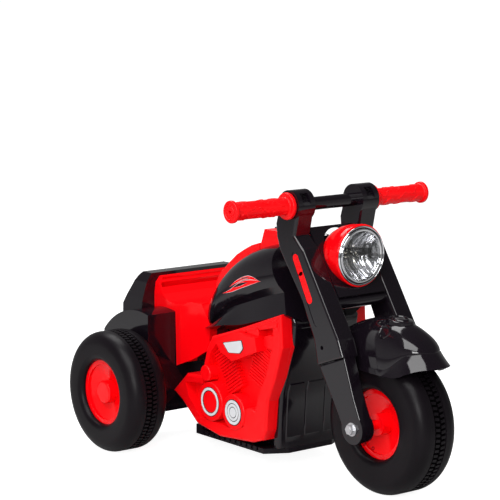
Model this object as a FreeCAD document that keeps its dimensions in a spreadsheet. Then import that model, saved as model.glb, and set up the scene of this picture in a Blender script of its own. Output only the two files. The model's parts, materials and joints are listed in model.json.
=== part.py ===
import FreeCAD, Part
import math
import os
import Sketcher
from FreeCAD import Rotation, Vector

# A child's ride-on motorcycle on three wheels: one steered wheel in a raked fork, two wheels behind.
# Millimetres. +X points ahead, +Y to the rider's left, +Z up. The floor is at Z = 0, and the origin
# lies on it, under the middle of the length and the width.

ACROSS = Vector(0, 1, 0)
AHEAD = Vector(1, 0, 0)
UP = Vector(0, 0, 1)

# Every driving size, by piece: name, value, what it is
SIZES = (
    # wheels and axles
    ("front_axle_x", 248.5, "front axle ahead of the origin"),
    ("wheelbase", 507, "front axle to rear axle"),
    ("front_tyre_radius", 117, "front tyre"),
    ("front_tyre_width", 84, "front tyre"),
    ("rear_tyre_radius", 107, "rear tyres"),
    ("rear_tyre_width", 80, "rear tyres"),
    ("rear_track", 380, "between the middles of the rear tyres"),
    ("front_rim_radius", 58, "seat of the front tyre"),
    ("rear_rim_radius", 57, "seat of the rear tyres"),
    ("bead_half", 29, "half the width of a rim over its flanges"),
    ("bead_flange", 8, "width of one rim flange"),
    ("flange_depth", 8, "radial depth of a rim flange"),
    ("tyre_wall", 5, "tyre side and tread"),
    ("tyre_shoulder", 22, "round between side and tread"),
    ("tyre_bulge", 11, "from the bead to where the side is widest, radially"),
    ("tread_groove_width", 3, "ring grooves in the tread"),
    ("tread_groove_depth", 2.5, "ring grooves in the tread"),
    ("tread_row_offset", 13, "ring groove from the middle of the tread"),
    ("rim_wall", 4, "rim dish"),
    ("hub_radius", 18, "wheel hubs"),
    ("dish_depth", 5, "rim flange face to the edge of the dish"),
    ("dish_fall", 11, "how far the dish sinks towards the hub"),
    ("front_hub_half", 31, "half the length of the front hub"),
    ("rear_hub_inner", 37, "rear hub, from the middle of the wheel inwards"),
    ("rear_hub_outer", 16, "rear hub, from the middle of the wheel outwards"),
    ("axle_radius", 5, "steel axles"),
    ("axle_end", 7, "axle beyond the outermost face that it clamps"),
    ("bush_wall", 3, "wheel bushes"),
    ("bush_flange", 2, "thickness of a bush flange"),
    ("bush_length", 18, "bush inside its hub"),
    ("running_clearance", 0.05, "between a shaft and its bore, radially"),
    ("seat_clearance", 0.1, "between pieces that are pushed together"),
    ("gap_clearance", 0.3, "between pieces that move past each other"),
    ("nut_radius", 8.5, "axle nuts, over the corners"),
    ("nut_height", 6, "axle nuts"),
    ("washer_radius", 11, "axle washers"),
    ("washer_thickness", 1.5, "axle washers"),
    ("cap_radius", 20.3, "hub caps of the rear wheels"),
    ("cap_height", 17, "hub caps of the rear wheels"),
    ("cap_wall", 2, "hub caps of the rear wheels"),
    ("cap_round", 4, "edge of a hub cap"),
    # handlebar and grips
    ("bar_x", 91.5, "middle of the handlebar tube"),
    ("bar_z", 462, "middle of the handlebar tube"),
    ("bar_radius", 11, "handlebar tube"),
    ("bar_wall", 2, "handlebar tube"),
    ("bar_span", 420, "over the ends of the grips"),
    ("grip_radius", 14.5, "barrel of a grip"),
    ("grip_end_radius", 18.5, "end flange of a grip"),
    ("grip_guard_radius", 22.5, "guard flange of a grip, beside the fork"),
    ("grip_end_width", 7, "end flange of a grip"),
    ("grip_guard_width", 8, "guard flange of a grip"),
    ("grip_end_wall", 4, "closed end of a grip"),
    ("grip_round", 3, "edges of the grip flanges"),
    ("grip_hole_radius", 3, "air hole in the end of a grip"),
    # fork
    ("rake", 33, "fork and steering axis, degrees from upright"),
    ("leg_outer", 88, "outer face of a fork leg from the middle"),
    ("leg_inner", 52, "inner face of a fork leg from the middle"),
    ("leg_width", 53, "fork leg, fore and aft"),
    ("leg_corner", 5, "round on the long edges of a fork leg"),
    ("head_radius", 26, "round head of a fork leg, about the handlebar"),
    ("head_slot_width", 16, "open pocket in the head of a fork leg"),
    ("head_slot_depth", 15, "open pocket in the head of a fork leg"),
    ("head_slot_length", 20, "open pocket in the head of a fork leg"),
    ("lower_outer", 85, "outer face of a lower leg from the middle"),
    ("lower_inner", 60, "inner face of a lower leg from the middle"),
    ("lower_end_radius", 25, "round end of a lower leg, about the axle"),
    ("lower_corner", 3, "round on the edges of a lower leg"),
    ("tenon_length", 26, "lower leg inside the upper leg"),
    ("tenon_thickness", 14, "tongue of the lower leg"),
    ("tenon_width", 30, "tongue of the lower leg"),
    ("panel_depth", 0.8, "sunk panel on the outer face of a fork leg"),
    ("panel_width", 15, "sunk panel on the outer face of a fork leg"),
    ("screw_hole_radius", 3.5, "screw holes in the mouldings"),
    ("screw_hole_depth", 6, "screw holes in the mouldings"),
    ("overrun", 2, "how far a cutting shape stands past what it cuts"),
    # plate, bridges and stem between the fork legs
    ("plate_top_x", 96.5, "top edge of the lamp plate"),
    ("plate_top_z", 422, "top edge of the lamp plate"),
    ("plate_bottom_x", 174, "bottom edge of the lamp plate"),
    ("plate_bottom_z", 316, "bottom edge of the lamp plate"),
    ("plate_thickness", 4, "lamp plate"),
    ("crossbar_x", 166, "middle of the crossbar"),
    ("crossbar_z", 306, "middle of the crossbar"),
    ("crossbar_radius", 10.5, "crossbar"),
    ("axis_x", 138.6, "a point on the steering axis"),
    ("axis_z", 306, "a point on the steering axis"),
    ("bridge_half_thickness", 6, "bridges between the fork legs"),
    ("bridge_ahead", 11, "bridge ahead of the steering axis"),
    ("bridge_behind", 15, "bridge behind the steering axis"),
    ("upper_bridge_rise", 105, "upper bridge above the lower one, along the axis"),
    ("stem_radius", 6, "steering stem"),
    ("stem_head", 4, "thickness of the stem's head and of its nut"),
    ("stem_head_radius", 10, "head and nut of the stem, over the corners"),
    ("neck_bush_radius", 11, "bushes of the steering stem"),
    ("neck_bush_length", 20, "bushes of the steering stem"),
    ("neck_end_gap", 2.3, "between the neck and each bridge, filled by a bush flange"),
    # headlamp
    ("lamp_x", 174.5, "front plane of the headlamp"),
    ("lamp_z", 381, "axis of the headlamp"),
    ("lamp_radius", 52, "chrome ring of the headlamp"),
    ("lamp_ring_width", 7, "chrome ring, along its axis"),
    ("lamp_ring_wall", 5, "chrome ring, radially"),
    ("lamp_gasket_wall", 4, "black ring inside the chrome one"),
    ("lamp_gasket_sink", 2, "black ring behind the chrome ring's front"),
    ("lamp_shell_wall", 3, "red shell"),
    ("lamp_shell_depth", 78, "red shell, ring to back end"),
    ("lamp_lens_thickness", 2, "clear lens"),
    ("lamp_lens_dome", 4, "how far the lens domes out"),
    ("lamp_reflector_depth", 34, "reflector"),
    ("lamp_reflector_wall", 1.5, "reflector"),
    ("lamp_reflector_neck", 7, "hole in the middle of the reflector"),
    ("lamp_bulb_radius", 5, "bulb"),
    ("lamp_bulb_length", 20, "bulb"),
    ("lamp_socket_length", 12, "socket of the bulb behind the reflector"),
    # front mudguard
    ("guard_gap", 55, "mudguard's crown above the front tyre"),
    ("guard_half", 49, "half the mudguard's width"),
    ("guard_wall", 3, "mudguard"),
    ("guard_rim_z", 207, "lowest point of the mudguard's rim"),
    ("guard_brim", 14, "height of the brim at the rim"),
    ("guard_brim_step", 2, "how far the brim stands out"),
    ("guard_tip_x", 360, "front tip of the mudguard"),
    ("guard_tail_x", 129, "rear end of the mudguard"),
    ("guard_lug_radius", 9, "lugs that hold the mudguard between the fork legs"),
    # body halves: the core behind the engine covers, the round sides over the rear axle, the tank
    ("shell_wall", 3, "walls of the body halves"),
    ("core_half", 56, "half the width of the core"),
    ("core_front_x", 46, "foot of the core's front face"),
    ("core_behind", 86.5, "rear face of the core, behind the rear axle"),
    ("body_floor", 40, "underside of the core"),
    ("core_high_z", 368, "top of the core, inside the tank"),
    ("neck_half", 24, "half the width of the neck between the fork legs"),
    ("neck_reach", 85, "neck behind the steering axis, into the tank"),
    ("pod_radius", 137, "round sides, about the rear axle"),
    ("pod_side", 146, "outer face of the round sides from the middle"),
    ("axle_boss_radius", 10, "boss that carries the rear axle inside"),
    ("axle_boss_length", 12, "boss that carries the rear axle inside"),
    ("pod_floor", 62, "underside of the round sides"),
    ("pod_ahead", 32.5, "front face of the round sides, ahead of the rear axle"),
    ("pod_behind", 103.5, "rear face of the round sides, behind the rear axle"),
    ("tank_half", 80, "half the width of the tank at its crease"),
    ("tank_lip_half", 90, "half the width of the tank at its lower lip"),
    ("tank_rear_x", -175, "rear end of the tank"),
    ("tank_front_x", 101, "front end of the tank before it is trimmed"),
    ("tank_low_z", 215, "lowest level of the tank"),
    ("tank_high_z", 400, "highest level of the tank before it is trimmed"),
    ("tank_groove", 6, "depth of the groove under the tank's crease"),
    ("swing_gap", 61, "body behind the steering axis, clear of the turning legs"),
    ("boss_radius", 5, "screw bosses between the halves"),
    ("screw_radius", 2, "screws"),
    ("screw_head_radius", 4, "screw heads"),
    ("screw_head_height", 2.5, "screw heads"),
    # red saddle, strip and dash, black tail
    ("seat_half", 86, "half the width of the seat"),
    ("seat_dip_z", 253, "lowest part of the sitting surface"),
    ("seat_front_x", -160, "front of the sitting surface"),
    ("seat_behind", 30.5, "rear face of the seat, behind the rear axle"),
    ("seat_back_z", 298, "top of the seat's back"),
    ("seat_skirt_z", 143, "lowest edge of the seat's sides"),
    ("strip_half", 28, "half the width of the strip along the tank"),
    ("strip_round", 3, "edges of the strip and the dash"),
    ("dash_rear_x", -59, "rear foot of the dash"),
    ("dash_front_x", 28, "front of the dash"),
    ("dash_top_z", 403, "top of the dash"),
    ("dash_wall", 2.5, "walls of the dash"),
    ("tail_half", 120, "half the width of the tail cover at its foot"),
    ("tail_foot_behind", 104.5, "rear edge of the tail cover at its foot, behind the rear axle"),
    ("tail_foot_z", 212, "foot of the tail cover"),
    ("tail_top_behind", 59.5, "rear edge of the tail cover at its top, behind the rear axle"),
    ("tail_top_z", 302, "top of the tail cover"),
    ("tail_top_half", 92, "half the width of the tail cover at its top"),
    # engine covers
    ("engine_rear_x", -222.5, "rear tip of an engine cover"),
    ("engine_length", 305, "engine cover"),
    ("engine_low_z", 41, "lowest edge of an engine cover"),
    ("engine_height", 239, "engine cover"),
    ("engine_base", 74, "floor of an engine cover from the middle"),
    ("engine_face", 95, "outer face of an engine cover from the middle"),
    ("engine_round", 5, "edges of an engine cover"),
    ("cylinder_width", 46, "finned cylinders, fore and aft"),
    ("cylinder_face", 86, "fins from the middle of the body"),
    ("cylinder_core_face", 82, "between the fins, from the middle of the body"),
    ("fin_pitch", 5.5, "fins"),
    ("fin_thickness", 3, "fins"),
    ("cover_boss_radius", 34, "round cover behind"),
    ("cover_boss_front_radius", 31, "round cover ahead"),
    ("pulley_boss_radius", 23, "small round cover"),
    ("cover_boss_face", 97, "round covers from the middle of the body"),
    ("cover_ring_radius", 26, "pale ring on the rear round cover"),
    ("cover_ring_width", 6, "pale ring on the rear round cover"),
    ("cover_disc_radius", 23, "pale disc on the front round cover"),
    ("trim_thickness", 1.2, "pale trims"),
    ("filler_radius", 14, "filler cap on the engine cover"),
    ("cleaner_face", 103, "air cleaner box from the middle of the body"),
    # under tray
    ("tray_low_z", 31, "underside of the tray"),
    ("tray_half", 86, "half the width of the tray"),
    ("tray_nose_half", 48, "half the width of the tray's front edge"),
    ("tray_nose", 22, "length of the tray's slanted front corners"),
    ("tray_rear_x", -165, "rear edge of the tray"),
    ("tray_peg_z", 48, "top of the foot stops at the tray's rear corners"),
    ("tray_peg_length", 18, "foot stops"),
    ("tray_peg_width", 22, "foot stops"),
    ("tray_notch", 5, "notches in the tray's edge"),
    ("tray_notch_depth", 3, "notches in the tray's edge"),
    ("tray_notch_pitch", 15, "notches in the tray's edge"),
    # drive
    ("battery_length", 101, "battery"),
    ("battery_width", 70, "battery"),
    ("battery_height", 47, "battery"),
    ("battery_rear_x", -140, "rear end of the battery"),
    ("gear_module", 1.25, "gears, pitch diameter over teeth"),
    ("pinion_module", 1, "motor pinion and the gear that it drives"),
    ("gear_face", 10, "width of the gears"),
    ("gear_plane", 121, "inner face of the output gear from the middle"),
    ("idler_lean", 4, "idler gear ahead of upright above the axle, degrees"),
    ("motor_radius", 14, "motor"),
    ("motor_length", 38, "motor"),
    ("case_wall", 2, "gearbox case"),
    ("case_gap", 2, "between the gears and their case"),
    ("drive_hub_radius", 14, "hub of the output gear, out to the wheel"),
    ("idler_shaft_radius", 2, "shaft of the idler gear and of the motor"),
    ("dog_length", 8, "collar of the output gear over the wheel hub"),
    ("dog_wall", 4, "collar of the output gear"),
    # controls, speaker and charging socket
    ("drive_button_radius", 12, "drive button on the dash"),
    ("small_button_radius", 6, "horn and music buttons"),
    ("button_rise", 3, "buttons above the dash"),
    ("button_travel", 2, "buttons"),
    ("button_flange", 1.5, "flange that keeps a button in the dash"),
    ("rocker_length", 19.2, "drive direction rocker"),
    ("rocker_width", 11.4, "drive direction rocker"),
    ("rocker_height", 7, "drive direction rocker"),
    ("rocker_pin_radius", 1, "pivot pins of the rocker"),
    ("rocker_pin_length", 1.5, "pivot pins of the rocker"),
    ("rocker_x", -36, "middle of the rocker"),
    ("small_button_x", -14, "middles of the horn and music buttons"),
    ("small_button_y", 15, "horn and music buttons from the middle"),
    ("drive_button_x", 5, "middle of the drive button"),
    ("board_thickness", 2, "switch board under the dash"),
    ("board_rear_gap", 16, "switch board ahead of the dash's rear foot"),
    ("board_front_gap", 8, "switch board behind the dash's front"),
    ("speaker_radius", 25, "speaker"),
    ("speaker_height", 12, "speaker"),
    ("speaker_x", 5, "middle of the speaker"),
    ("socket_radius", 6, "charging socket"),
    ("socket_flange", 2, "charging socket"),
    ("socket_length", 16, "charging socket"),
    ("socket_bore_radius", 2.8, "charging socket"),
    ("socket_bore_depth", 10, "charging socket"),
    ("socket_y", 30, "charging socket from the middle"),
    ("socket_z", 150, "charging socket above the floor"),
)


class Size:
    """A number, with the sheet's expression for it."""

    def __init__(self, number, text):
        self.number = number
        self.text = text

    def __add__(self, other):
        return joined(self, "+", other)

    def __radd__(self, other):
        return joined(other, "+", self)

    def __sub__(self, other):
        return joined(self, "-", other)

    def __rsub__(self, other):
        return joined(other, "-", self)

    def __mul__(self, other):
        return joined(self, "*", other)

    def __rmul__(self, other):
        return joined(other, "*", self)

    def __truediv__(self, other):
        return joined(self, "/", other)

    def __neg__(self):
        return Size(-self.number, "(-1 * " + self.text + ")")


def size(value):
    """Turn a plain number into a Size, and leave a Size as it is."""
    if isinstance(value, Size):
        return value
    return Size(value, "(" + repr(value) + ")")


def joined(left, sign, right):
    left = size(left)
    right = size(right)
    numbers = {
        "+": lambda: left.number + right.number,
        "-": lambda: left.number - right.number,
        "*": lambda: left.number * right.number,
        "/": lambda: left.number / right.number,
    }
    return Size(numbers[sign](), "(" + left.text + " " + sign + " " + right.text + ")")


def sine(angle):
    return Size(math.sin(math.radians(angle.number)), "sin(" + angle.text + ")")


def cosine(angle):
    return Size(math.cos(math.radians(angle.number)), "cos(" + angle.text + ")")


def lean(ahead, rise):
    """How far a line leans from upright, in degrees."""
    number = math.degrees(math.atan2(ahead.number, rise.number))
    return Size(number, "atan2(" + ahead.text + "; " + rise.text + ")")


def distance(ahead, rise):
    square = ahead * ahead + rise * rise
    return Size(math.sqrt(square.number), "sqrt(" + square.text + ")")


class Sheet:
    """The spreadsheet of driving sizes; each is read as an attribute."""

    def __init__(self, document):
        table = document.addObject("Spreadsheet::Sheet", "Sizes")
        for row, (name, number, note) in enumerate(SIZES, 1):
            table.set("A" + str(row), note)
            table.set("B" + str(row), str(number))
            table.setAlias("B" + str(row), name)
            setattr(self, name, Size(number, "Sizes." + name))


doc = FreeCAD.newDocument("RideOnMotorcycle")
S = Sheet(doc)
doc.recompute()

# Sizes that follow from the driving ones
FRONT_AXLE = (S.front_axle_x, size(0), S.front_tyre_radius)
REAR_AXLE_X = S.front_axle_x - S.wheelbase
REAR_WHEEL_Y = S.rear_track / 2
CORE_REAR_X = REAR_AXLE_X - S.core_behind
POD_FRONT_X = REAR_AXLE_X + S.pod_ahead
POD_REAR_X = REAR_AXLE_X - S.pod_behind
SEAT_BACK_X = REAR_AXLE_X - S.seat_behind
TAIL_FOOT_X = REAR_AXLE_X - S.tail_foot_behind
TAIL_TOP_X = REAR_AXLE_X - S.tail_top_behind
RAKE_COS = cosine(S.rake)
RAKE_SIN = sine(S.rake)
pieces = {}


def bind(item, prop, value):
    item.setExpression(prop, size(value).text)


def place(item, at=(0, 0, 0), axis=None, angle=None):
    """Put an item at a bound point, turned by a bound angle about an axis."""
    if axis is not None:
        angle = size(angle)
        item.Placement.Rotation = Rotation(axis, angle.number)
        item.setExpression("Placement.Rotation.Angle", angle.text)
    for prop, value in zip(("x", "y", "z"), at):
        bind(item, "Placement.Base." + prop, value)
    return item


def named(label, item):
    """Keep an item as a piece of the object, under its own name."""
    item.Label = label
    pieces[label] = item
    return item


def cylinder(radius, length, at=(0, 0, 0), axis=None, angle=None):
    item = doc.addObject("Part::Cylinder", "Cylinder")
    bind(item, "Radius", radius)
    bind(item, "Height", length)
    return place(item, at, axis, angle)


def across(radius, length, middle):
    """A cylinder along Y with its middle at a point."""
    x, y, z = middle
    return cylinder(radius, length, (x, y + length / 2, z), AHEAD, 90)


def block(length, width, height, at=(0, 0, 0), axis=None, angle=None):
    item = doc.addObject("Part::Box", "Box")
    bind(item, "Length", length)
    bind(item, "Width", width)
    bind(item, "Height", height)
    return place(item, at, axis, angle)


def hexagon(radius, height, at=(0, 0, 0), axis=None, angle=None):
    item = doc.addObject("Part::Prism", "Hexagon")
    item.Polygon = 6
    bind(item, "Circumradius", radius)
    bind(item, "Height", height)
    return place(item, at, axis, angle)


def fuse(*items):
    item = doc.addObject("Part::MultiFuse", "Fusion")
    item.Shapes = list(items)
    item.Refine = True
    return item


def cut(base, *tools):
    item = doc.addObject("Part::Cut", "Cut")
    item.Base = base
    item.Tool = tools[0] if len(tools) == 1 else fuse(*tools)
    return item


def common(first, second):
    item = doc.addObject("Part::MultiCommon", "Common")
    item.Shapes = [first, second]
    return item


def group(*items):
    """Several separate solids that share one name."""
    item = doc.addObject("Part::Compound", "Group")
    item.Links = list(items)
    return item


def mirrored(item, normal=ACROSS):
    copy = doc.addObject("Part::Mirroring", "Mirrored")
    copy.Source = item
    copy.Base = Vector(0, 0, 0)
    copy.Normal = normal
    return copy


def origin_plane(body, role):
    return [item for item in body.Origin.OriginFeatures if item.Role == role][0]


def outline(body, role, points):
    """A closed sketch through bound corner points on one of the body's origin planes."""
    sketch = body.newObject("Sketcher::SketchObject", "Outline")
    sketch.AttachmentSupport = [(origin_plane(body, role), "")]
    sketch.MapMode = "FlatFace"
    corners = [(size(x), size(y)) for x, y in points]
    spots = [Vector(x.number, y.number, 0) for x, y in corners]
    count = len(spots)
    lines = [Part.LineSegment(spots[i], spots[(i + 1) % count]) for i in range(count)]
    sketch.addGeometry(lines, False)
    for i in range(count):
        sketch.addConstraint(Sketcher.Constraint("Coincident", i, 2, (i + 1) % count, 1))
    for i, (x, y) in enumerate(corners):
        for kind, value in (("DistanceX", x), ("DistanceY", y)):
            constraint = Sketcher.Constraint(kind, -1, 1, i, 1, value.number)
            number = sketch.addConstraint(constraint)
            sketch.setExpression("Constraints[" + str(number) + "]", value.text)
    return sketch


def circle(body, role, radius):
    """A sketch of a bound circle about the origin of one of the body's origin planes."""
    sketch = body.newObject("Sketcher::SketchObject", "Circle")
    sketch.AttachmentSupport = [(origin_plane(body, role), "")]
    sketch.MapMode = "FlatFace"
    sketch.addGeometry(Part.Circle(Vector(0, 0, 0), UP, size(radius).number), False)
    sketch.addConstraint(Sketcher.Constraint("Coincident", 0, 3, -1, 1))
    number = sketch.addConstraint(Sketcher.Constraint("Radius", 0, size(radius).number))
    sketch.setExpression("Constraints[" + str(number) + "]", size(radius).text)
    return sketch


def padded(role, points, length, at=(0, 0, 0), axis=None, angle=None):
    """A body: an outline on a plane, raised by a length."""
    body = doc.addObject("PartDesign::Body", "Padded")
    pad = body.newObject("PartDesign::Pad", "Pad")
    pad.Profile = outline(body, role, points)
    bind(pad, "Length", length)
    return place(body, at, axis, angle)


def side_plate(points, inner, outer):
    """A plate with its outline in X and Z, between two distances to the right of the middle."""
    return padded("XZ_Plane", points, outer - inner, (0, -inner, 0))


def turned(points, at=(0, 0, 0), axis=None, angle=None):
    """A body of revolution about local Y, from corner points (radius, place along Y)."""
    body = doc.addObject("PartDesign::Body", "Turned")
    spin = body.newObject("PartDesign::Revolution", "Revolution")
    sketch = outline(body, "XY_Plane", points)
    spin.Profile = sketch
    spin.ReferenceAxis = (sketch, ["V_Axis"])
    spin.Angle = 360
    return place(body, at, axis, angle)


def rounded(body, radius, wanted):
    """Round the edges of a body that a test picks out, with a bound radius."""
    doc.recompute()
    edges = body.Tip.Shape.Edges
    names = ["Edge" + str(i + 1) for i, edge in enumerate(edges) if wanted(edge)]
    base = body.Tip
    fillet = body.newObject("PartDesign::Fillet", "Round")
    fillet.Base = (base, names)
    bind(fillet, "Radius", radius)
    return body


def near(a, b):
    return abs(a - b) < 1e-4


def ring_edge(*rings):
    """Pick the round edges of a turned body that lie at given (radius, place along Y)."""
    def wanted(edge):
        if not isinstance(edge.Curve, Part.Circle):
            return False
        for radius, along in rings:
            if near(edge.Curve.Radius, size(radius).number) and near(edge.Curve.Center.y, size(along).number):
                return True
        return False
    return wanted


def raked(behind, rise):
    """A point in the middle plane, by its place behind and along the steering axis."""
    x = S.axis_x - behind * RAKE_COS - rise * RAKE_SIN
    z = S.axis_z - behind * RAKE_SIN + rise * RAKE_COS
    return x, z


def on_rake(item, behind, y, rise):
    """Stand an item's local Z along the steering axis, with its origin at a raked point."""
    x, z = raked(behind, rise)
    return place(item, (x, y, z), ACROSS, -S.rake)


# Wheels

def tyre(label, radius, width, seat, at):
    half = width / 2
    bead_in = S.bead_half - S.bead_flange
    bulge = seat + S.tyre_bulge
    tread_in = radius - S.tyre_wall
    outer = [(seat, bead_in), (seat, S.bead_half), (bulge, half), (radius, half)]
    groove_in = S.tread_row_offset - S.tread_groove_width / 2
    groove_out = S.tread_row_offset + S.tread_groove_width / 2
    floor = radius - S.tread_groove_depth
    outer += [(radius, groove_out), (floor, groove_out), (floor, groove_in), (radius, groove_in)]
    inner = [(tread_in, half - S.tyre_wall), (bulge, half - S.tyre_wall)]
    right = [(r, -y) for r, y in reversed(outer)]
    ring = outer + right + [(r, -y) for r, y in reversed(inner)] + inner
    body = turned(ring, at)
    corners = [(radius, half), (radius, -half)]
    sides = [(bulge, half), (bulge, -half)]
    rounded(body, S.tyre_shoulder, ring_edge(*corners))
    rounded(body, S.tyre_bulge / 2, ring_edge(*sides))
    return named(label, body)


def rim_profile(seat, hub_bore, hub_low, hub_high):
    """The half section of a dished rim, from hub_low to hub_high along its axis."""
    barrel = seat - S.seat_clearance
    lip = seat - S.flange_depth
    dish = S.bead_half - S.dish_depth
    foot = dish - S.dish_fall
    hub = S.hub_radius
    wall = S.rim_wall
    in_flange = S.bead_half - S.bead_flange
    return [
        (hub_bore, hub_high), (hub, hub_high), (hub, foot), (lip, dish), (lip, S.bead_half),
        (barrel, S.bead_half), (barrel, in_flange), (lip, dish - wall), (hub + wall, foot - wall),
        (hub + wall, wall - foot), (lip, wall - dish), (barrel, -in_flange), (barrel, -S.bead_half),
        (lip, -S.bead_half), (lip, -dish), (hub, -foot), (hub, hub_low), (hub_bore, hub_low),
    ]


BUSH_OUTER = S.axle_radius + S.running_clearance + S.bush_wall
HUB_BORE = BUSH_OUTER + S.seat_clearance


def bush(face, inward, at):
    """A flanged bush pushed into one end of a hub; inward is +1 or -1 along Y."""
    bore = S.axle_radius + S.running_clearance
    flange = face - inward * S.bush_flange
    end = face + inward * S.bush_length
    points = [
        (bore, flange), (S.hub_radius, flange), (S.hub_radius, face), (BUSH_OUTER, face),
        (BUSH_OUTER, end), (bore, end),
    ]
    return turned(points, at)


tyre("front_tyre", S.front_tyre_radius, S.front_tyre_width, S.front_rim_radius, FRONT_AXLE)
front_profile = rim_profile(S.front_rim_radius, HUB_BORE, -S.front_hub_half, S.front_hub_half)
named("front_rim", turned(front_profile, FRONT_AXLE))
front_bushes = group(bush(-S.front_hub_half, 1, FRONT_AXLE), bush(S.front_hub_half, -1, FRONT_AXLE))
named("front_wheel_bushes", front_bushes)

REAR_BORE = S.axle_radius + S.running_clearance
rear_profile = rim_profile(S.rear_rim_radius, REAR_BORE, -S.rear_hub_outer, S.rear_hub_inner)
REAR_RIGHT = (REAR_AXLE_X, -REAR_WHEEL_Y, S.rear_tyre_radius)
tyre("rear_tyre_right", S.rear_tyre_radius, S.rear_tyre_width, S.rear_rim_radius, REAR_RIGHT)
named("rear_rim_right", turned(rear_profile, REAR_RIGHT))
named("rear_tyre_left", mirrored(pieces["rear_tyre_right"]))
named("rear_rim_left", mirrored(pieces["rear_rim_right"]))

# Front axle: rod, nuts with washers, and the spacers between hub and fork

NUT_FACE = S.lower_outer + S.washer_thickness
named("front_axle", across(S.axle_radius, (NUT_FACE + S.axle_end) * 2, FRONT_AXLE))


def ring(outer, inner, length, middle):
    """A tube along Y with its middle at a point."""
    hole = across(inner, length + S.overrun * 2, middle)
    return cut(across(outer, length, middle), hole)


def nut(at_y, centre_x, centre_z):
    """A hexagonal nut on an axle along Y, from at_y outwards to the right."""
    at = (centre_x, at_y, centre_z)
    body = hexagon(S.nut_radius, S.nut_height, at, AHEAD, 90)
    bore = cylinder(S.axle_radius + S.running_clearance, S.nut_height, at, AHEAD, 90)
    return cut(body, bore)


def pair(make):
    """A piece on the right and its mirror image on the left."""
    right = make
    return [right, mirrored(right)]


axle_bore = S.axle_radius + S.running_clearance
washer_y = -S.lower_outer - S.washer_thickness / 2
washer_at = (S.front_axle_x, washer_y, S.front_tyre_radius)
washer = ring(S.washer_radius, axle_bore, S.washer_thickness, washer_at)
front_nut = nut(-NUT_FACE, S.front_axle_x, S.front_tyre_radius)
named("front_axle_nuts", group(*pair(front_nut), *pair(washer)))

BUSH_FACE = S.front_hub_half + S.bush_flange
spacer_length = S.lower_inner - BUSH_FACE - S.gap_clearance
spacer_middle = -BUSH_FACE - S.gap_clearance - spacer_length / 2
spacer_at = (S.front_axle_x, spacer_middle, S.front_tyre_radius)
spacer = ring(S.axle_radius + S.bush_wall, axle_bore, spacer_length, spacer_at)
named("front_axle_spacers", group(*pair(spacer)))

# Fork legs. Corners are shares of the way from the handlebar down to the axle, and of the leg's
# width ahead of the straight line between the two.

UPPER_LEG_shares = (
    (0, -0.47), (0.093, -0.935), (0.157, -1.075), (0.22, -1.115), (0.441, -0.701), (0.617, -0.621),
    (0.736, -0.804), (0.67, 0.601), (0.591, 0.607), (0.417, 0.386), (0.2, 0.106), (0.139, -0.148),
    (0, 0.47),
)
LOWER_LEG_shares = (
    (0.738, -0.78), (0.884, -0.581), (0.955, -0.5), (1, -0.47), (1, 0.47), (0.955, 0.5),
    (0.855, 0.486), (0.672, 0.58),
)
PANEL_TOP_share = (0.235, -0.4)
PANEL_LOW_share = (0.53, -0.22)
LEG_SCREW_share = (0.646, -0.3)
TENON_share = (0.705, -0.1)
HEAD_SLOT_TURN = 35


def on_leg(down_share, ahead_share):
    """A point of the fork leg's side outline."""
    x = S.bar_x + down_share * (S.front_axle_x - S.bar_x) + ahead_share * S.leg_width
    z = S.bar_z - down_share * (S.bar_z - S.front_tyre_radius)
    return x, z


def prism(points, inner, outer, corner):
    """A side plate whose corners and outer outline are rounded."""
    body = side_plate(points, inner, outer)
    thickness = (size(outer) - inner).number

    def long_edge(edge):
        low = edge.BoundBox
        flat = near(low.YMin, -thickness) and near(low.YMax, -thickness)
        return flat or near(low.YMin, 0) and near(low.YMax, 0)

    return rounded(body, corner, long_edge)


def fork_leg():
    leg = prism([on_leg(*point) for point in UPPER_LEG_shares], S.leg_inner, S.leg_outer, S.leg_corner)
    thickness = S.leg_outer - S.leg_inner
    middle = -(S.leg_inner + S.leg_outer) / 2
    head = across(S.head_radius, thickness, (S.bar_x, middle, S.bar_z))
    bore = across(S.bar_radius + S.seat_clearance, thickness + S.overrun * 2, (S.bar_x, middle, S.bar_z))
    slot = block(
        S.head_slot_length, S.head_slot_width, S.head_radius,
        (S.bar_x + S.head_slot_depth * sine(size(HEAD_SLOT_TURN)), middle - S.head_slot_width / 2,
         S.bar_z + S.head_slot_depth * cosine(size(HEAD_SLOT_TURN))),
        ACROSS, HEAD_SLOT_TURN,
    )
    tenon_x, tenon_z = on_leg(*TENON_share)
    socket = tongue(S.tenon_width + S.seat_clearance * 2, S.tenon_thickness + S.seat_clearance * 2,
                    S.tenon_length + S.gap_clearance, tenon_x, tenon_z)
    screw_x, screw_z = on_leg(*LEG_SCREW_share)
    screw = cylinder(S.screw_hole_radius, S.screw_hole_depth + S.overrun,
                     (screw_x, -S.leg_outer + S.screw_hole_depth, screw_z), AHEAD, 90)
    return cut(fuse(leg, head), bore, slot, socket, screw, panel_cutter())


def panel_cutter():
    """The long round-ended panel that is sunk in the outer face of a leg."""
    top_x, top_z = on_leg(*PANEL_TOP_share)
    low_x, low_z = on_leg(*PANEL_LOW_share)
    depth = S.panel_depth + S.overrun
    face = -S.leg_outer + S.panel_depth
    ends = []
    for x, z in ((top_x, top_z), (low_x, low_z)):
        ends.append(cylinder(S.panel_width / 2, depth, (x, face, z), AHEAD, 90))
    turn = lean(low_x - top_x, top_z - low_z)
    half = S.panel_width / 2
    at = (low_x - half * cosine(turn), face - depth, low_z - half * sine(turn))
    bar = block(S.panel_width, depth, distance(low_x - top_x, top_z - low_z), at, ACROSS, -turn)
    return fuse(*ends, bar)


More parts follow.
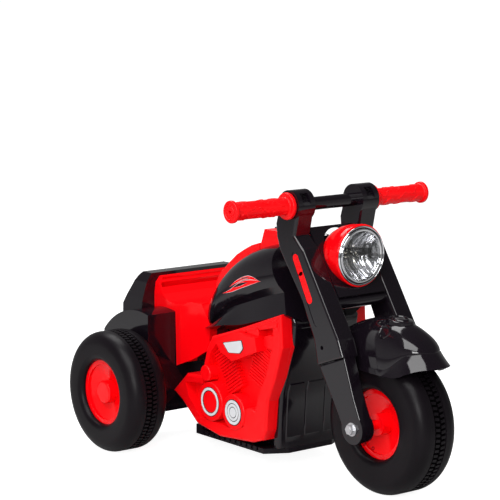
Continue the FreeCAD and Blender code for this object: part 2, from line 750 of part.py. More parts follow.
def tongue(width, thickness, length, x, z):
    """The square tongue that joins a lower leg to its upper leg, along the rake."""
    middle = -(S.lower_inner + S.lower_outer) / 2
    base_x = x - width / 2 * RAKE_COS
    base_z = z - width / 2 * RAKE_SIN
    return block(width, thickness, length, (base_x, middle - thickness / 2, base_z), ACROSS, -S.rake)


def lower_leg():
    edge = [on_leg(*point) for point in LOWER_LEG_shares]
    lower = prism(edge, S.lower_inner, S.lower_outer, S.lower_corner)
    thickness = S.lower_outer - S.lower_inner
    middle = (S.front_axle_x, -(S.lower_inner + S.lower_outer) / 2, S.front_tyre_radius)
    foot = across(S.lower_end_radius, thickness, middle)
    bore = across(axle_bore, thickness + S.overrun * 2, middle)
    tenon_x, tenon_z = on_leg(*TENON_share)
    tenon = tongue(S.tenon_width, S.tenon_thickness, S.tenon_length, tenon_x, tenon_z)
    return cut(fuse(lower, foot, tenon), bore)


named("fork_leg_right", fork_leg())
named("fork_leg_left", mirrored(pieces["fork_leg_right"]))
named("fork_lower_right", lower_leg())
named("fork_lower_left", mirrored(pieces["fork_lower_right"]))

# Handlebar and grips

BAR_END = S.bar_span / 2 - S.grip_end_wall
bar_at = (S.bar_x, 0, S.bar_z)
named("handlebar", ring(S.bar_radius, S.bar_radius - S.bar_wall, BAR_END * 2, bar_at))


def grip():
    bore = S.bar_radius + S.seat_clearance
    inner = S.leg_outer + S.seat_clearance
    end = S.bar_span / 2
    wall = end - S.grip_end_wall + S.seat_clearance
    guard = inner + S.grip_guard_width
    flange = end - S.grip_end_width
    profile = [
        (bore, inner), (S.grip_guard_radius, inner), (S.grip_guard_radius, guard), (S.grip_radius, guard),
        (S.grip_radius, flange), (S.grip_end_radius, flange), (S.grip_end_radius, end),
        (S.grip_hole_radius, end), (S.grip_hole_radius, wall), (bore, wall),
    ]
    body = turned([(r, -y) for r, y in profile], bar_at)
    edges = ring_edge((S.grip_guard_radius, -inner), (S.grip_guard_radius, -guard),
                      (S.grip_end_radius, -flange), (S.grip_end_radius, -end))
    return rounded(body, S.grip_round, edges)


named("grip_right", grip())
named("grip_left", mirrored(pieces["grip_right"]))

# Lamp plate and crossbar between the fork legs

plate_run_x = S.plate_bottom_x - S.plate_top_x
plate_run_z = S.plate_top_z - S.plate_bottom_z
PLATE_TURN = lean(plate_run_x, plate_run_z)
PLATE_LENGTH = distance(plate_run_x, plate_run_z)


def on_plate(thickness, half_width, sink=0):
    """A slab in the plane of the lamp plate, from a depth behind its back face forwards."""
    x = S.plate_bottom_x - sink * cosine(PLATE_TURN)
    z = S.plate_bottom_z - sink * sine(PLATE_TURN)
    return block(thickness, half_width * 2, PLATE_LENGTH, (x, -half_width, z), ACROSS, -PLATE_TURN)


LAMP_HOLE_share = 0.75
lamp_hole = cylinder(S.lamp_radius * LAMP_HOLE_share, S.lamp_x, (0, 0, S.lamp_z), ACROSS, 90)
ring_room = cylinder(S.lamp_radius + S.seat_clearance, S.lamp_ring_width * 2,
                     (S.lamp_x - S.lamp_ring_width - S.seat_clearance, 0, S.lamp_z), ACROSS, 90)
named("lamp_plate", cut(on_plate(S.plate_thickness, S.leg_inner), lamp_hole, ring_room))
named("crossbar", across(S.crossbar_radius, S.leg_inner * 2, (S.crossbar_x, 0, S.crossbar_z)))

# Bridges and stem: the fork turns in the body's neck on the stem

bridge_thickness = S.bridge_half_thickness * 2
bridge_length = S.bridge_ahead + S.bridge_behind
STEM_BORE = S.stem_radius + S.seat_clearance


def bridge(rise):
    plate = block(bridge_length, S.leg_inner * 2, bridge_thickness)
    on_rake(plate, S.bridge_behind, -S.leg_inner, rise - S.bridge_half_thickness)
    bore = cylinder(STEM_BORE, bridge_thickness + S.overrun * 2)
    on_rake(bore, 0, 0, rise - S.bridge_half_thickness - S.overrun)
    return cut(plate, bore)


named("fork_bridges", group(bridge(size(0)), bridge(S.upper_bridge_rise)))
stem_low = -S.bridge_half_thickness
stem_high = S.upper_bridge_rise + S.bridge_half_thickness
stem = cylinder(S.stem_radius, stem_high - stem_low + S.stem_head)
on_rake(stem, 0, 0, stem_low)
stem_head = hexagon(S.stem_head_radius, S.stem_head)
on_rake(stem_head, 0, 0, stem_low - S.stem_head)
named("steering_stem", fuse(stem, stem_head))
nut_body = hexagon(S.stem_head_radius, S.stem_head)
on_rake(nut_body, 0, 0, stem_high)
nut_bore = cylinder(S.stem_radius + S.running_clearance, S.stem_head)
on_rake(nut_bore, 0, 0, stem_high)
named("stem_nut", cut(nut_body, nut_bore))

# Headlamp, turned about its own axis: places are behind (-) or ahead (+) of its front plane

LAMP_AT = (S.lamp_x, 0, S.lamp_z)
SHELL_shares = ((0.98, 0.09), (0.96, 0.26), (0.89, 0.47), (0.75, 0.68), (0.5, 0.87), (0.2, 0.975), (0, 1))
REFLECTOR_shares = ((0.83, 0.32), (0.62, 0.6), (0.4, 0.82))
LENS_shares = ((0.87, 0.2), (0.6, 0.62), (0.3, 0.9), (0, 1))
RING_BEVEL_share = 1 / 3
BULB_ROUND_share = 0.8
lamp_inner = S.lamp_radius - S.lamp_ring_wall
GASKET_INNER = lamp_inner - S.lamp_gasket_wall


def lamp_turned(points):
    return turned(points, LAMP_AT, UP, -90)


ring_back = -S.lamp_ring_width
named("lamp_ring", lamp_turned([
    (lamp_inner, ring_back), (S.lamp_radius, ring_back), (S.lamp_radius, ring_back * RING_BEVEL_share),
    (S.lamp_radius - S.lamp_ring_wall * RING_BEVEL_share, 0), (lamp_inner, 0),
]))
gasket_outer = lamp_inner - S.seat_clearance
named("lamp_gasket", lamp_turned([
    (GASKET_INNER, ring_back), (gasket_outer, ring_back), (gasket_outer, -S.lamp_gasket_sink),
    (GASKET_INNER, -S.lamp_gasket_sink),
]))
shell_outer = [(S.lamp_radius * r, ring_back - (S.lamp_shell_depth + ring_back) * d) for r, d in SHELL_shares]
shell_bore = S.lamp_radius - S.lamp_shell_wall
shell_inner = [(shell_bore * r, S.lamp_shell_wall + ring_back - (S.lamp_shell_depth + ring_back) * d)
               for r, d in reversed(SHELL_shares)]
mouth = [(shell_outer[0][0], ring_back)]
inner_mouth = [(shell_inner[-1][0], ring_back)]
bullet = lamp_turned(mouth + shell_outer + shell_inner[:-1] + inner_mouth)
behind_plate = on_plate(S.lamp_shell_depth * 2, S.lamp_radius * 2, S.lamp_shell_depth * 2 - S.plate_thickness)
named("lamp_shell", cut(bullet, behind_plate))
reflector_rim = GASKET_INNER - S.seat_clearance
front = -S.lamp_gasket_sink - S.lamp_lens_thickness - S.gap_clearance
neck_y = front - S.lamp_reflector_depth
bowl = [(reflector_rim, front)]
bowl += [(reflector_rim * r, front - S.lamp_reflector_depth * d) for r, d in REFLECTOR_shares]
bowl += [(S.lamp_reflector_neck, neck_y)]
back = [(r, y - S.lamp_reflector_wall * 2) for r, y in reversed(bowl[1:])]
back = [(S.lamp_reflector_neck, neck_y - S.lamp_reflector_wall * 2)] + back[1:]
back += [(reflector_rim, front - S.lamp_reflector_wall * 2)]
named("lamp_reflector", lamp_turned(bowl + back))
lens_back = -S.lamp_gasket_sink - S.lamp_lens_thickness
dome = [(reflector_rim, -S.lamp_gasket_sink)]
dome += [(reflector_rim * r, -S.lamp_gasket_sink + S.lamp_lens_dome * rise) for r, rise in LENS_shares]
under = [(r, y - S.lamp_lens_thickness) for r, y in reversed(dome)]
named("lamp_lens", lamp_turned(dome + under))
socket_radius = S.lamp_reflector_neck - S.seat_clearance
socket_front = neck_y + S.lamp_reflector_wall
bulb_tip = socket_front + S.lamp_bulb_length
named("lamp_bulb", rounded(lamp_turned([
    (0, bulb_tip), (S.lamp_bulb_radius, bulb_tip), (S.lamp_bulb_radius, socket_front),
    (socket_radius, socket_front), (socket_radius, socket_front - S.lamp_socket_length),
    (0, socket_front - S.lamp_socket_length),
]), S.lamp_bulb_radius * BULB_ROUND_share, ring_edge((S.lamp_bulb_radius, bulb_tip))))

# Front mudguard: an arched shell about the front axle, trimmed along its rim and round in plan

GUARD_RADIUS = S.front_tyre_radius + S.guard_gap
GUARD_RIM_shares = ((-0.02, 0.6), (0.2, 0.3), (0.42, 0.08), (0.6, 0), (0.78, 0.06), (0.93, 0.3), (1.02, 0.55))
GUARD_RISE_share = 0.28
GUARD_ROUND_share = 0.8
GUARD_CROWN_shares = (
    (-0.2, 0.5), (-0.2, 1.5), (0.5, 1.5), (0.62, 0.95), (0.72, 0.77), (0.83, 0.47), (0.92, 0.24),
    (1.02, 0.05), (1.02, -0.2), (-0.2, -0.2),
)
GUARD_LUG_share = (0.655, -0.2)


def arch(radius, half, inner):
    """A ring about the front axle whose outer corners are widely rounded."""
    body = turned([(inner, -half), (inner, half), (radius, half), (radius, -half)], FRONT_AXLE)
    return rounded(body, half * GUARD_ROUND_share, ring_edge((radius, half), (radius, -half)))


def guard_plan(half):
    """The mudguard's outline from above: straight sides and a round nose."""
    nose = S.guard_tip_x - S.guard_half
    height = GUARD_RADIUS
    side = block(nose - S.guard_tail_x, half * 2, height, (S.guard_tail_x, -half, S.front_tyre_radius))
    return fuse(side, cylinder(half, height, (nose, 0, S.front_tyre_radius)))


def guard_rim_line(lift):
    """What is left above the mudguard's rim, seen from the side."""
    rise = (S.front_tyre_radius + GUARD_RADIUS - S.guard_rim_z) * GUARD_RISE_share
    run = S.guard_tip_x - S.guard_tail_x
    line = [(S.guard_tail_x + run * u, S.guard_rim_z + lift + rise * v) for u, v in GUARD_RIM_shares]
    top = S.front_tyre_radius + GUARD_RADIUS + S.overrun
    line += [(line[-1][0], top), (line[0][0], top)]
    return padded("XZ_Plane", line, S.guard_half * 4, (0, S.guard_half * 2, 0))


def guard_crown_line(sink):
    """What lies under the mudguard's crown, seen from the side."""
    run = S.guard_tip_x - S.guard_tail_x
    rise = S.front_tyre_radius + GUARD_RADIUS - S.guard_rim_z
    line = [(S.guard_tail_x + run * u, S.guard_rim_z - sink + rise * v) for u, v in GUARD_CROWN_shares]
    return padded("XZ_Plane", line, S.guard_half * 4, (0, S.guard_half * 2, 0))


def guard_solid(inset):
    half = S.guard_half - inset
    form = common(arch(GUARD_RADIUS - inset, half, S.rim_wall), guard_plan(half))
    return common(form, guard_crown_line(inset))


lug_x, lug_z = on_leg(*GUARD_LUG_share)
lug_start = S.guard_half - S.guard_wall
lug_length = S.leg_inner - S.seat_clearance - lug_start
lug = across(S.guard_lug_radius, lug_length, (lug_x, -lug_start - lug_length / 2, lug_z))
guard_shell = cut(guard_solid(size(0)), guard_solid(S.guard_wall))
brim_body = cut(guard_solid(-S.guard_brim_step), guard_solid(S.guard_wall))
brim = cut(brim_body, guard_rim_line(S.guard_brim))
guard_whole = common(fuse(guard_shell, brim), guard_rim_line(size(0)))
named("front_mudguard", fuse(guard_whole, *pair(lug)))

# Body halves. The tank is lofted through sections across the body. Each station gives, as shares:
# place along the tank; top, crease, lip and underside as shares of the tank's height; half width.

TANK_shares = (
    (0, 0.24, 0.12, 0.07, 0.03, 0.45),
    (0.13, 0.5, 0.1, 0.045, 0.01, 0.93),
    (0.31, 0.735, 0.3, 0.115, 0.03, 1),
    (0.49, 0.855, 0.425, 0.16, 0.07, 1),
    (0.67, 0.92, 0.52, 0.235, 0.14, 1),
    (0.86, 0.965, 0.6, 0.315, 0.22, 0.98),
    (1, 0.99, 0.66, 0.38, 0.29, 0.95),
)
TANK_FLAT_share = 0.36
TANK_BELLY_shares = (0.8, 0.22)
TANK_UNDER_share = 0.62


def tank_section(station, inset, side):
    """One section of the tank half; inset draws every wall in, side is -1 on the right."""
    along, top, crease, lip, under, width = station
    height = (S.tank_high_z - S.tank_low_z).number
    low = S.tank_low_z.number
    x = (S.tank_rear_x + along * (S.tank_front_x - S.tank_rear_x)).number
    half = S.tank_half.number * width - inset
    lip_half = S.tank_lip_half.number * width - inset
    groove = S.tank_groove.number * width
    top_z = low + height * top - inset
    crease_z = low + height * crease
    lip_z = low + height * lip
    under_z = low + height * under + inset
    flat, drop = TANK_BELLY_shares
    belly = (half * flat, top_z - drop * (top_z - crease_z))
    waist = (half - groove, (crease_z + lip_z) / 2 + (crease_z - lip_z) / 4)
    corners = [
        (0, under_z), (0, top_z), (half * TANK_FLAT_share, top_z), (half, crease_z), waist,
        (lip_half, lip_z), (lip_half * TANK_UNDER_share, under_z),
    ]
    spots = [Vector(x, side * y, z) for y, z in corners]
    edges = []
    for i, spot in enumerate(spots):
        after = spots[(i + 1) % len(spots)]
        if i == 2:
            middle = Vector(x, side * belly[0], belly[1])
            edges.append(Part.Arc(spot, middle, after).toShape())
        else:
            edges.append(Part.LineSegment(spot, after).toShape())
    return Part.Wire(edges)


def tank_solid(inset):
    stations = TANK_shares
    sections = [tank_section(station, inset, -1) for station in stations]
    item = doc.addObject("Part::Feature", "Tank")
    item.Shape = Part.makeLoft(sections, True, False)
    return item


CORE_shares = (
    (0, 0), (0.008, 0.18), (0.015, 0.335), (0.031, 0.43), (0.066, 0.555), (0.107, 0.655),
)
CORE_BACK_shares = (
    (-0.09, 0.975), (-0.27, 0.94), (-0.35, 0.88), (-0.43, 0.79), (-0.505, 0.67), (-0.575, 0.585),
    (-0.63, 0.525),
)


def core_outline(inset):
    """The side outline of the core, from the foot of its front face and round."""
    length = S.core_front_x - CORE_REAR_X
    height = S.core_high_z - S.body_floor
    line = [(S.core_front_x + length * u - inset, S.body_floor + height * v) for u, v in CORE_shares]
    line[0] = (S.core_front_x - inset, S.body_floor + inset)
    low_x, low_z = raked(S.swing_gap + inset, size(0))
    high_rise = (S.core_high_z - inset - low_z) / RAKE_COS
    high_x = low_x - high_rise * RAKE_SIN
    line += [(low_x, low_z), (high_x, S.core_high_z - inset)]
    line += [(S.core_front_x + length * u, S.body_floor + height * v - inset) for u, v in CORE_BACK_shares]
    seat_floor = S.seat_skirt_z + (S.seat_dip_z - S.seat_skirt_z) * 0.62 - inset
    line += [(POD_FRONT_X, seat_floor), (CORE_REAR_X + inset, seat_floor)]
    line += [(CORE_REAR_X + inset, S.pod_floor + inset)]
    heel = S.pod_floor - S.body_floor
    line += [(S.tray_rear_x - heel * 2, S.pod_floor + inset), (S.tray_rear_x, S.body_floor + inset)]
    return line


def core(inset):
    return padded("XZ_Plane", core_outline(inset), S.core_half - inset, (0, 0, 0))


def neck(grow):
    """The neck between the fork legs: a round nose about the axis and a block back into the tank."""
    low = S.bridge_half_thickness + S.neck_end_gap
    high = S.upper_bridge_rise - S.bridge_half_thickness - S.neck_end_gap
    radius = S.neck_half - grow
    nose = on_rake(cylinder(radius, high - low - grow * 2), 0, 0, low + grow)
    bar = on_rake(block(S.neck_reach, radius * 2, high - low - grow * 2), S.neck_reach, -radius, low + grow)
    return fuse(nose, bar)


def pod(inset):
    """A round side of the body over the rear axle, out to the wheel."""
    inner = S.core_half - S.shell_wall + inset
    length = S.pod_side - inner - inset
    drum = across(S.pod_radius - inset, length, (REAR_AXLE_X, -inner - length / 2, S.rear_tyre_radius))
    frame = block(
        POD_FRONT_X - POD_REAR_X - inset * 2, length, S.pod_radius * 2,
        (POD_REAR_X + inset, -inner - length, S.pod_floor + inset),
    )
    return common(drum, frame)


def ahead_of_swing(gap):
    """All that lies ahead of a plane behind the steering axis, where the turning legs pass."""
    item = block(S.wheelbase, S.rear_track * 2, S.bar_z * 3)
    return on_rake(item, gap, -S.rear_track, -S.bar_z)


right_side = block(S.wheelbase * 2, S.rear_track, S.bar_z * 2, (-S.wheelbase, -S.rear_track, 0))
wide_outside = cut(fuse(core(size(0)), tank_solid(0)), ahead_of_swing(S.swing_gap))
wide_solid = fuse(core(S.shell_wall), tank_solid(S.shell_wall.number))
wide_inside = cut(wide_solid, ahead_of_swing(S.swing_gap + S.shell_wall))
pod_outside = pod(size(0))
pod_inside = pod(S.shell_wall)
neck_outside = common(neck(size(0)), right_side)
BODY_SCREW_shares = ((-0.04, 0.07), (-0.04, 0.56), (-0.5, 0.07), (-0.5, 0.52), (-0.98, 0.3), (-0.98, 0.12))
SCREW_REACH_share = 0.4


def body_screw_spots():
    length = S.core_front_x - CORE_REAR_X
    height = S.core_high_z - S.body_floor
    return [(S.core_front_x + length * u, S.body_floor + height * v) for u, v in BODY_SCREW_shares]


def right_of(radius, start, end, x, z):
    """A cylinder along Y between two distances to the right of the middle."""
    return cylinder(radius, end - start, (x, -start, z), AHEAD, 90)


bosses = []
for x, z in body_screw_spots():
    bosses.append(right_of(S.boss_radius, size(0), S.core_half - S.shell_wall / 2, x, z))
bosses.append(right_of(S.axle_boss_radius, S.core_half - S.axle_boss_length, S.core_half,
                       REAR_AXLE_X, S.rear_tyre_radius))
shell = cut(fuse(wide_outside, pod_outside), wide_inside, pod_inside)
half_solid = fuse(shell, neck_outside, *bosses)
bush_bore = on_rake(cylinder(S.neck_bush_radius + S.seat_clearance, S.wheelbase), 0, 0, 0)
axle_hole = right_of(S.drive_hub_radius + S.gap_clearance, S.core_half, S.rear_track,
                     REAR_AXLE_X, S.rear_tyre_radius)
axle_seat = right_of(S.axle_radius + S.seat_clearance, size(0), S.core_half + S.overrun,
                     REAR_AXLE_X, S.rear_tyre_radius)
half_body = cut(half_solid, bush_bore, axle_hole, axle_seat)
SCREW_REACH = S.core_half * SCREW_REACH_share
SCREW_SEAT = S.core_half - S.screw_head_height - S.seat_clearance
screw_holes = []
screw_seats = []
screws = []
for x, z in body_screw_spots():
    hole = S.screw_radius + S.seat_clearance
    screw_holes.append(right_of(hole, -S.overrun, S.core_half, x, z))
    pocket = S.screw_head_radius + S.seat_clearance
    screw_holes.append(right_of(pocket, SCREW_SEAT, S.core_half + S.overrun, x, z))
    screw_seats.append(right_of(hole, -SCREW_REACH - S.seat_clearance, S.overrun, x, z))
    shank = right_of(S.screw_radius, -SCREW_REACH, SCREW_SEAT + S.screw_head_height / 2, x, z)
    head = right_of(S.screw_head_radius, SCREW_SEAT, SCREW_SEAT + S.screw_head_height, x, z)
    screws.append(fuse(shank, head))
named("body_right", cut(half_body, *screw_holes))
socket_hole = cylinder(S.socket_radius + S.seat_clearance, S.socket_length * 2,
                       (CORE_REAR_X - S.socket_length, S.socket_y, S.socket_z), ACROSS, 90)
named("body_left", cut(mirrored(half_body), socket_hole, *screw_seats))
named("body_screws", group(*screws))


def head_bush(face, inward):
    """A flanged bush of the steering stem in one end of the neck."""
    low = face - S.bush_flange if inward > 0 else face
    tube_low = face if inward > 0 else face - S.neck_bush_length
    flange = on_rake(cylinder(S.neck_bush_radius + S.bush_flange * 2, S.bush_flange), 0, 0, low)
    tube = on_rake(cylinder(S.neck_bush_radius, S.neck_bush_length), 0, 0, tube_low)
    bore = on_rake(cylinder(S.stem_radius + S.running_clearance, S.upper_bridge_rise), 0, 0, 0)
    return cut(fuse(flange, tube), bore)


NECK_LOW = S.bridge_half_thickness + S.neck_end_gap
NECK_HIGH = S.upper_bridge_rise - NECK_LOW
named("head_bushes", group(head_bush(NECK_LOW, 1), head_bush(NECK_HIGH, -1)))

# What the covers leave free: the body, slightly grown. Its sections are the body's, drawn out.

grown_body = fuse(core(-S.seat_clearance), tank_solid(-S.seat_clearance.number))
body_room = cut(grown_body, ahead_of_swing(S.swing_gap))
pod_room = pod(-S.seat_clearance)
room_right = fuse(body_room, pod_room)
room = fuse(room_right, mirrored(room_right))


def between(points, half):
    """A prism with its outline in X and Z, over both sides of the middle."""
    return padded("XZ_Plane", points, half * 2, (0, half, 0))


# Seat: a saddle whose skirts hang outside the core. Shares run from its front to its back and
# from the dip to the top of the back; below, from the lowest edge up to the dip.

SEAT_TOP_shares = (
    (0.02, 0.2), (0.23, 0.2), (0.35, 0.07), (0.5, 0), (0.65, 0.06), (0.8, 0.3), (0.92, 0.75), (1, 1),
)
SEAT_SKIRT_shares = ((1, 0.85), (0.51, 0.85), (0.49, 0), (0.19, 0.145), (-0.13, 0.37), (-0.13, 0.8))
SEAT_PLAN_shares = ((-0.3, 0.8), (0.1, 0.9), (0.4, 1), (1.02, 1))
SEAT_EDGE_shares = ((1, 0.8), (0.97, 0.93), (0.86, 1))
SEAT_RIB_shares = (0.34, 0.6, 0.86)


def seat_form(inset):
    """The seat's outside, or its inside when drawn in, before the body's room is cut away."""
    front = S.seat_front_x - inset
    run = SEAT_BACK_X + inset - front
    rise = S.seat_back_z - S.seat_dip_z
    fall = S.seat_dip_z - S.seat_skirt_z
    line = [(front + run * u, S.seat_dip_z + rise * v - inset) for u, v in SEAT_TOP_shares]
    line += [(front + run * u, S.seat_skirt_z + fall * v - inset * 2) for u, v in SEAT_SKIRT_shares]
    side = between(line, S.seat_half - inset)
    plan = [(front + run * u, -(S.seat_half * v - inset)) for u, v in SEAT_PLAN_shares]
    plan += [(x, -y) for x, y in reversed(plan)]
    above = padded("XY_Plane", plan, S.seat_back_z, (0, 0, 0))
    half = S.seat_half - inset
    edge = [(half * u, S.seat_skirt_z - S.overrun + (S.seat_back_z - S.seat_skirt_z - inset) * v)
            for u, v in SEAT_EDGE_shares]
    edge = [(half, S.seat_skirt_z - inset * 2 - S.overrun)] + edge
    edge += [(-y, z) for y, z in reversed(edge)]
    behind = padded("YZ_Plane", edge, S.wheelbase, (-S.wheelbase, 0, 0))
    return common(common(side, above), behind)


seat_outer = seat_form(size(0))
ribs = []
for share in SEAT_RIB_shares:
    rib_x = S.seat_front_x + (SEAT_BACK_X - S.seat_front_x) * share
    ribs.append(block(S.shell_wall, S.seat_half * 2, S.seat_back_z, (rib_x, -S.seat_half, S.seat_skirt_z)))
seat_shell = cut(seat_outer, seat_form(S.shell_wall))
named("seat", cut(fuse(seat_shell, common(seat_outer, fuse(*ribs))), room))

# Red strip along the top of the tank, up to the dash

STRIP_shares = (
    (-0.054, 0.256), (-0.045, 0.36), (-0.027, 0.443), (0.03, 0.545), (0.107, 0.643), (0.18, 0.728),
    (0.263, 0.795), (0.33, 0.842), (0.404, 0.876), (0.418, 0.88), (0.418, 0.7), (0.2, 0.5), (0.05, 0.256),
)
tank_run = S.tank_front_x - S.tank_rear_x
tank_rise = S.tank_high_z - S.tank_low_z
strip_line = [(S.tank_rear_x + tank_run * u, S.tank_low_z + tank_rise * v) for u, v in STRIP_shares]
strip = between(strip_line, S.strip_half)


def outer_long_edge(skip):
    """Pick the edges along both sides of a prism between two faces across the width."""
    def wanted(edge):
        low = edge.BoundBox
        if low.YMax - low.YMin > 1e-4:
            return False
        return low.ZMax > skip and not near(low.XMin, low.XMax)
    return wanted


strip_top = (S.tank_low_z + tank_rise * STRIP_shares[0][1]).number + 1
strip = rounded(strip, S.strip_round, outer_long_edge(strip_top))
named("tank_strip", cut(strip, room))

# Dash: a hollow block on the tank with the controls in its top

DASH_shares = ((0, 0.55), (0.03, 0.8), (0.14, 1), (0.93, 1), (1, 0.86), (1, 0), (0, 0))
DASH_HEIGHT_share = 0.32


def dash_form(inset):
    run = S.dash_front_x - S.dash_rear_x
    height = S.dash_top_z * DASH_HEIGHT_share
    line = []
    for u, v in DASH_shares:
        z = S.dash_top_z - height * (1 - v)
        x = S.dash_rear_x + run * u
        if u <= 0.14:
            x = x + inset
        else:
            x = x - inset
        z = z - inset
        line.append((x, z))
    return between(line, S.strip_half - inset)


def upright(radius, low, high, x, y):
    return cylinder(radius, high - low, (x, y, low))


DASH_UNDER = S.dash_top_z - S.dash_wall
ROCKER_Z = S.dash_top_z - S.dash_wall / 2
rocker_hole = block(
    S.rocker_length + S.gap_clearance * 4, S.rocker_width + S.gap_clearance * 2, S.dash_wall + S.overrun * 2,
    (S.rocker_x - S.rocker_length / 2 - S.gap_clearance * 2, -S.rocker_width / 2 - S.gap_clearance,
     DASH_UNDER - S.overrun),
)
pin_half = S.rocker_width / 2 + S.rocker_pin_length
pin_at = (S.rocker_x, 0, ROCKER_Z)
pin_hole = across(S.rocker_pin_radius + S.running_clearance, pin_half * 2 + S.seat_clearance, pin_at)
dash_holes = [rocker_hole, pin_hole]
for x, y, radius in ((S.small_button_x, -S.small_button_y, S.small_button_radius),
                     (S.small_button_x, S.small_button_y, S.small_button_radius),
                     (S.drive_button_x, size(0), S.drive_button_radius)):
    hole = radius + S.gap_clearance
    dash_holes.append(upright(hole, DASH_UNDER - S.overrun, S.dash_top_z + S.overrun, x, y))
dash_block = rounded(dash_form(size(0)), S.strip_round / 2, outer_long_edge(DASH_UNDER.number))
named("dash_panel", cut(dash_block, dash_form(S.dash_wall), room, *dash_holes))


def button(radius, x, y):
    low = DASH_UNDER - S.gap_clearance - S.button_flange
    top = S.dash_top_z + S.button_rise - low
    flange = radius + S.button_flange
    cap = turned([
        (0, 0), (flange, 0), (flange, S.button_flange), (radius, S.button_flange), (radius, top), (0, top),
    ], (x, y, low), AHEAD, 90)
    return rounded(cap, S.button_flange / 2, ring_edge((radius, top)))


named("horn_button", button(S.small_button_radius, S.small_button_x, -S.small_button_y))
named("music_button", button(S.small_button_radius, S.small_button_x, S.small_button_y))
named("drive_button", button(S.drive_button_radius, S.drive_button_x, size(0)))
ROCKER_shares = (
    (-0.5, 0.5), (0, 0.32), (0.5, 0.5), (0.47, -0.06), (0.16, -0.5), (-0.16, -0.5), (-0.47, -0.06),
)
rocker_line = [(S.rocker_x + S.rocker_length * u, ROCKER_Z + S.rocker_height * v) for u, v in ROCKER_shares]
rocker = between(rocker_line, S.rocker_width / 2)
rocker_pins = across(S.rocker_pin_radius, pin_half * 2, pin_at)
named("drive_rocker", fuse(rocker, rocker_pins))
board_top = DASH_UNDER - S.gap_clearance * 2 - S.button_flange - S.button_travel
board_half = S.strip_half - S.dash_wall - S.seat_clearance
board = block(
    S.dash_front_x - S.dash_rear_x - S.board_rear_gap - S.board_front_gap, board_half * 2,
    S.board_thickness, (S.dash_rear_x + S.board_rear_gap, -board_half, board_top - S.board_thickness),
)
named("switch_board", cut(board, room))

# Tail cover behind the seat, on the round sides

TAIL_BACK_shares = ((0, 0), (0.32, 0.31), (0.56, 0.56), (0.74, 0.74), (0.9, 0.92), (1.06, 1))
TAIL_SIDE_shares = ((0, 0), (0.3, 0.5), (0.62, 0.82), (1, 1))
TAIL_CORNER_shares = ((0, 0.76), (0.1, 0.91), (0.34, 1), (1, 1))


def tail_form(inset):
    foot = S.tail_foot_z - S.overrun - inset * 2
    front = SEAT_BACK_X - S.gap_clearance - inset
    run = TAIL_TOP_X - TAIL_FOOT_X
    rise = S.tail_top_z - S.tail_foot_z
    back = []
    for u, v in TAIL_BACK_shares:
        back.append((TAIL_FOOT_X + inset + run * u, S.tail_foot_z + (rise - inset) * v))
    side = between([(back[0][0], foot)] + back + [(front, back[-1][1]), (front, foot)], S.tail_half)
    half = []
    for u, v in TAIL_SIDE_shares:
        y = S.tail_half - inset - (S.tail_half - S.tail_top_half) * u
        half.append((y, S.tail_foot_z + (rise - inset) * v))
    half = [(half[0][0], foot)] + half
    across_line = half + [(-y, z) for y, z in reversed(half)]
    length = SEAT_BACK_X - TAIL_FOOT_X
    behind = padded("YZ_Plane", across_line, length, (TAIL_FOOT_X, 0, 0))
    plan = []
    for u, v in TAIL_CORNER_shares:
        plan.append((TAIL_FOOT_X + inset + length * u, (S.tail_half - inset) * v))
    plan += [(x, -y) for x, y in reversed(plan)]
    above = padded("XY_Plane", plan, S.tail_top_z + S.overrun, (0, 0, 0))
    return common(common(side, behind), above)


named("tail_cover", cut(tail_form(size(0)), tail_form(S.shell_wall), room))

# Engine covers. Shares run along the cover from its rear tip and up from its lowest edge.

ENGINE_shares = (
    (0.987, 1), (1, 0.762), (0.938, 0.531), (0.879, 0.36), (0.862, 0.142), (0.833, 0.067), (0.741, 0.029),
    (0.443, 0), (0.23, 0.046), (0.085, 0.192), (0, 0.247), (0.134, 0.402), (0.274, 0.414),
    (0.323, 0.623), (0.372, 0.728), (0.602, 0.824),
)
ENGINE_FLOOR_shares = (
    (0.923, 0.941), (0.93, 0.77), (0.867, 0.548), (0.798, 0.364), (0.766, 0.238), (0.726, 0.146),
    (0.569, 0.088), (0.274, 0.105), (0.159, 0.23), (0.123, 0.339), (0.29, 0.36), (0.36, 0.6), (0.43, 0.7),
    (0.62, 0.79),
)
CLEANER_shares = ((0.436, 0.715), (0.649, 0.816), (0.8, 0.803), (0.816, 0.707), (0.593, 0.594), (0.492, 0.64))
BADGE_shares = ((0.511, 0.715), (0.685, 0.766), (0.702, 0.707), (0.672, 0.665), (0.564, 0.649))
REAR_BOSS_share = (0.367, 0.243)
FRONT_BOSS_share = (0.58, 0.213)
PULLEY_BOSS_share = (0.726, 0.18)
FILLER_share = (0.321, 0.444)
REAR_CYLINDER_shares = ((0.562, 0.364), (0.405, 0.686))
FRONT_CYLINDER_shares = ((0.739, 0.456), (0.838, 0.782))
HOLLOW_shares = (
    (0.9, 0.8), (0.84, 0.5), (0.78, 0.2), (0.5, 0.06), (0.2, 0.12), (0.12, 0.3), (0.4, 0.42), (0.45, 0.68),
)


def on_engine(along, up):
    return S.engine_rear_x + S.engine_length * along, S.engine_low_z + S.engine_height * up


ENGINE_BACK = S.core_half + S.seat_clearance


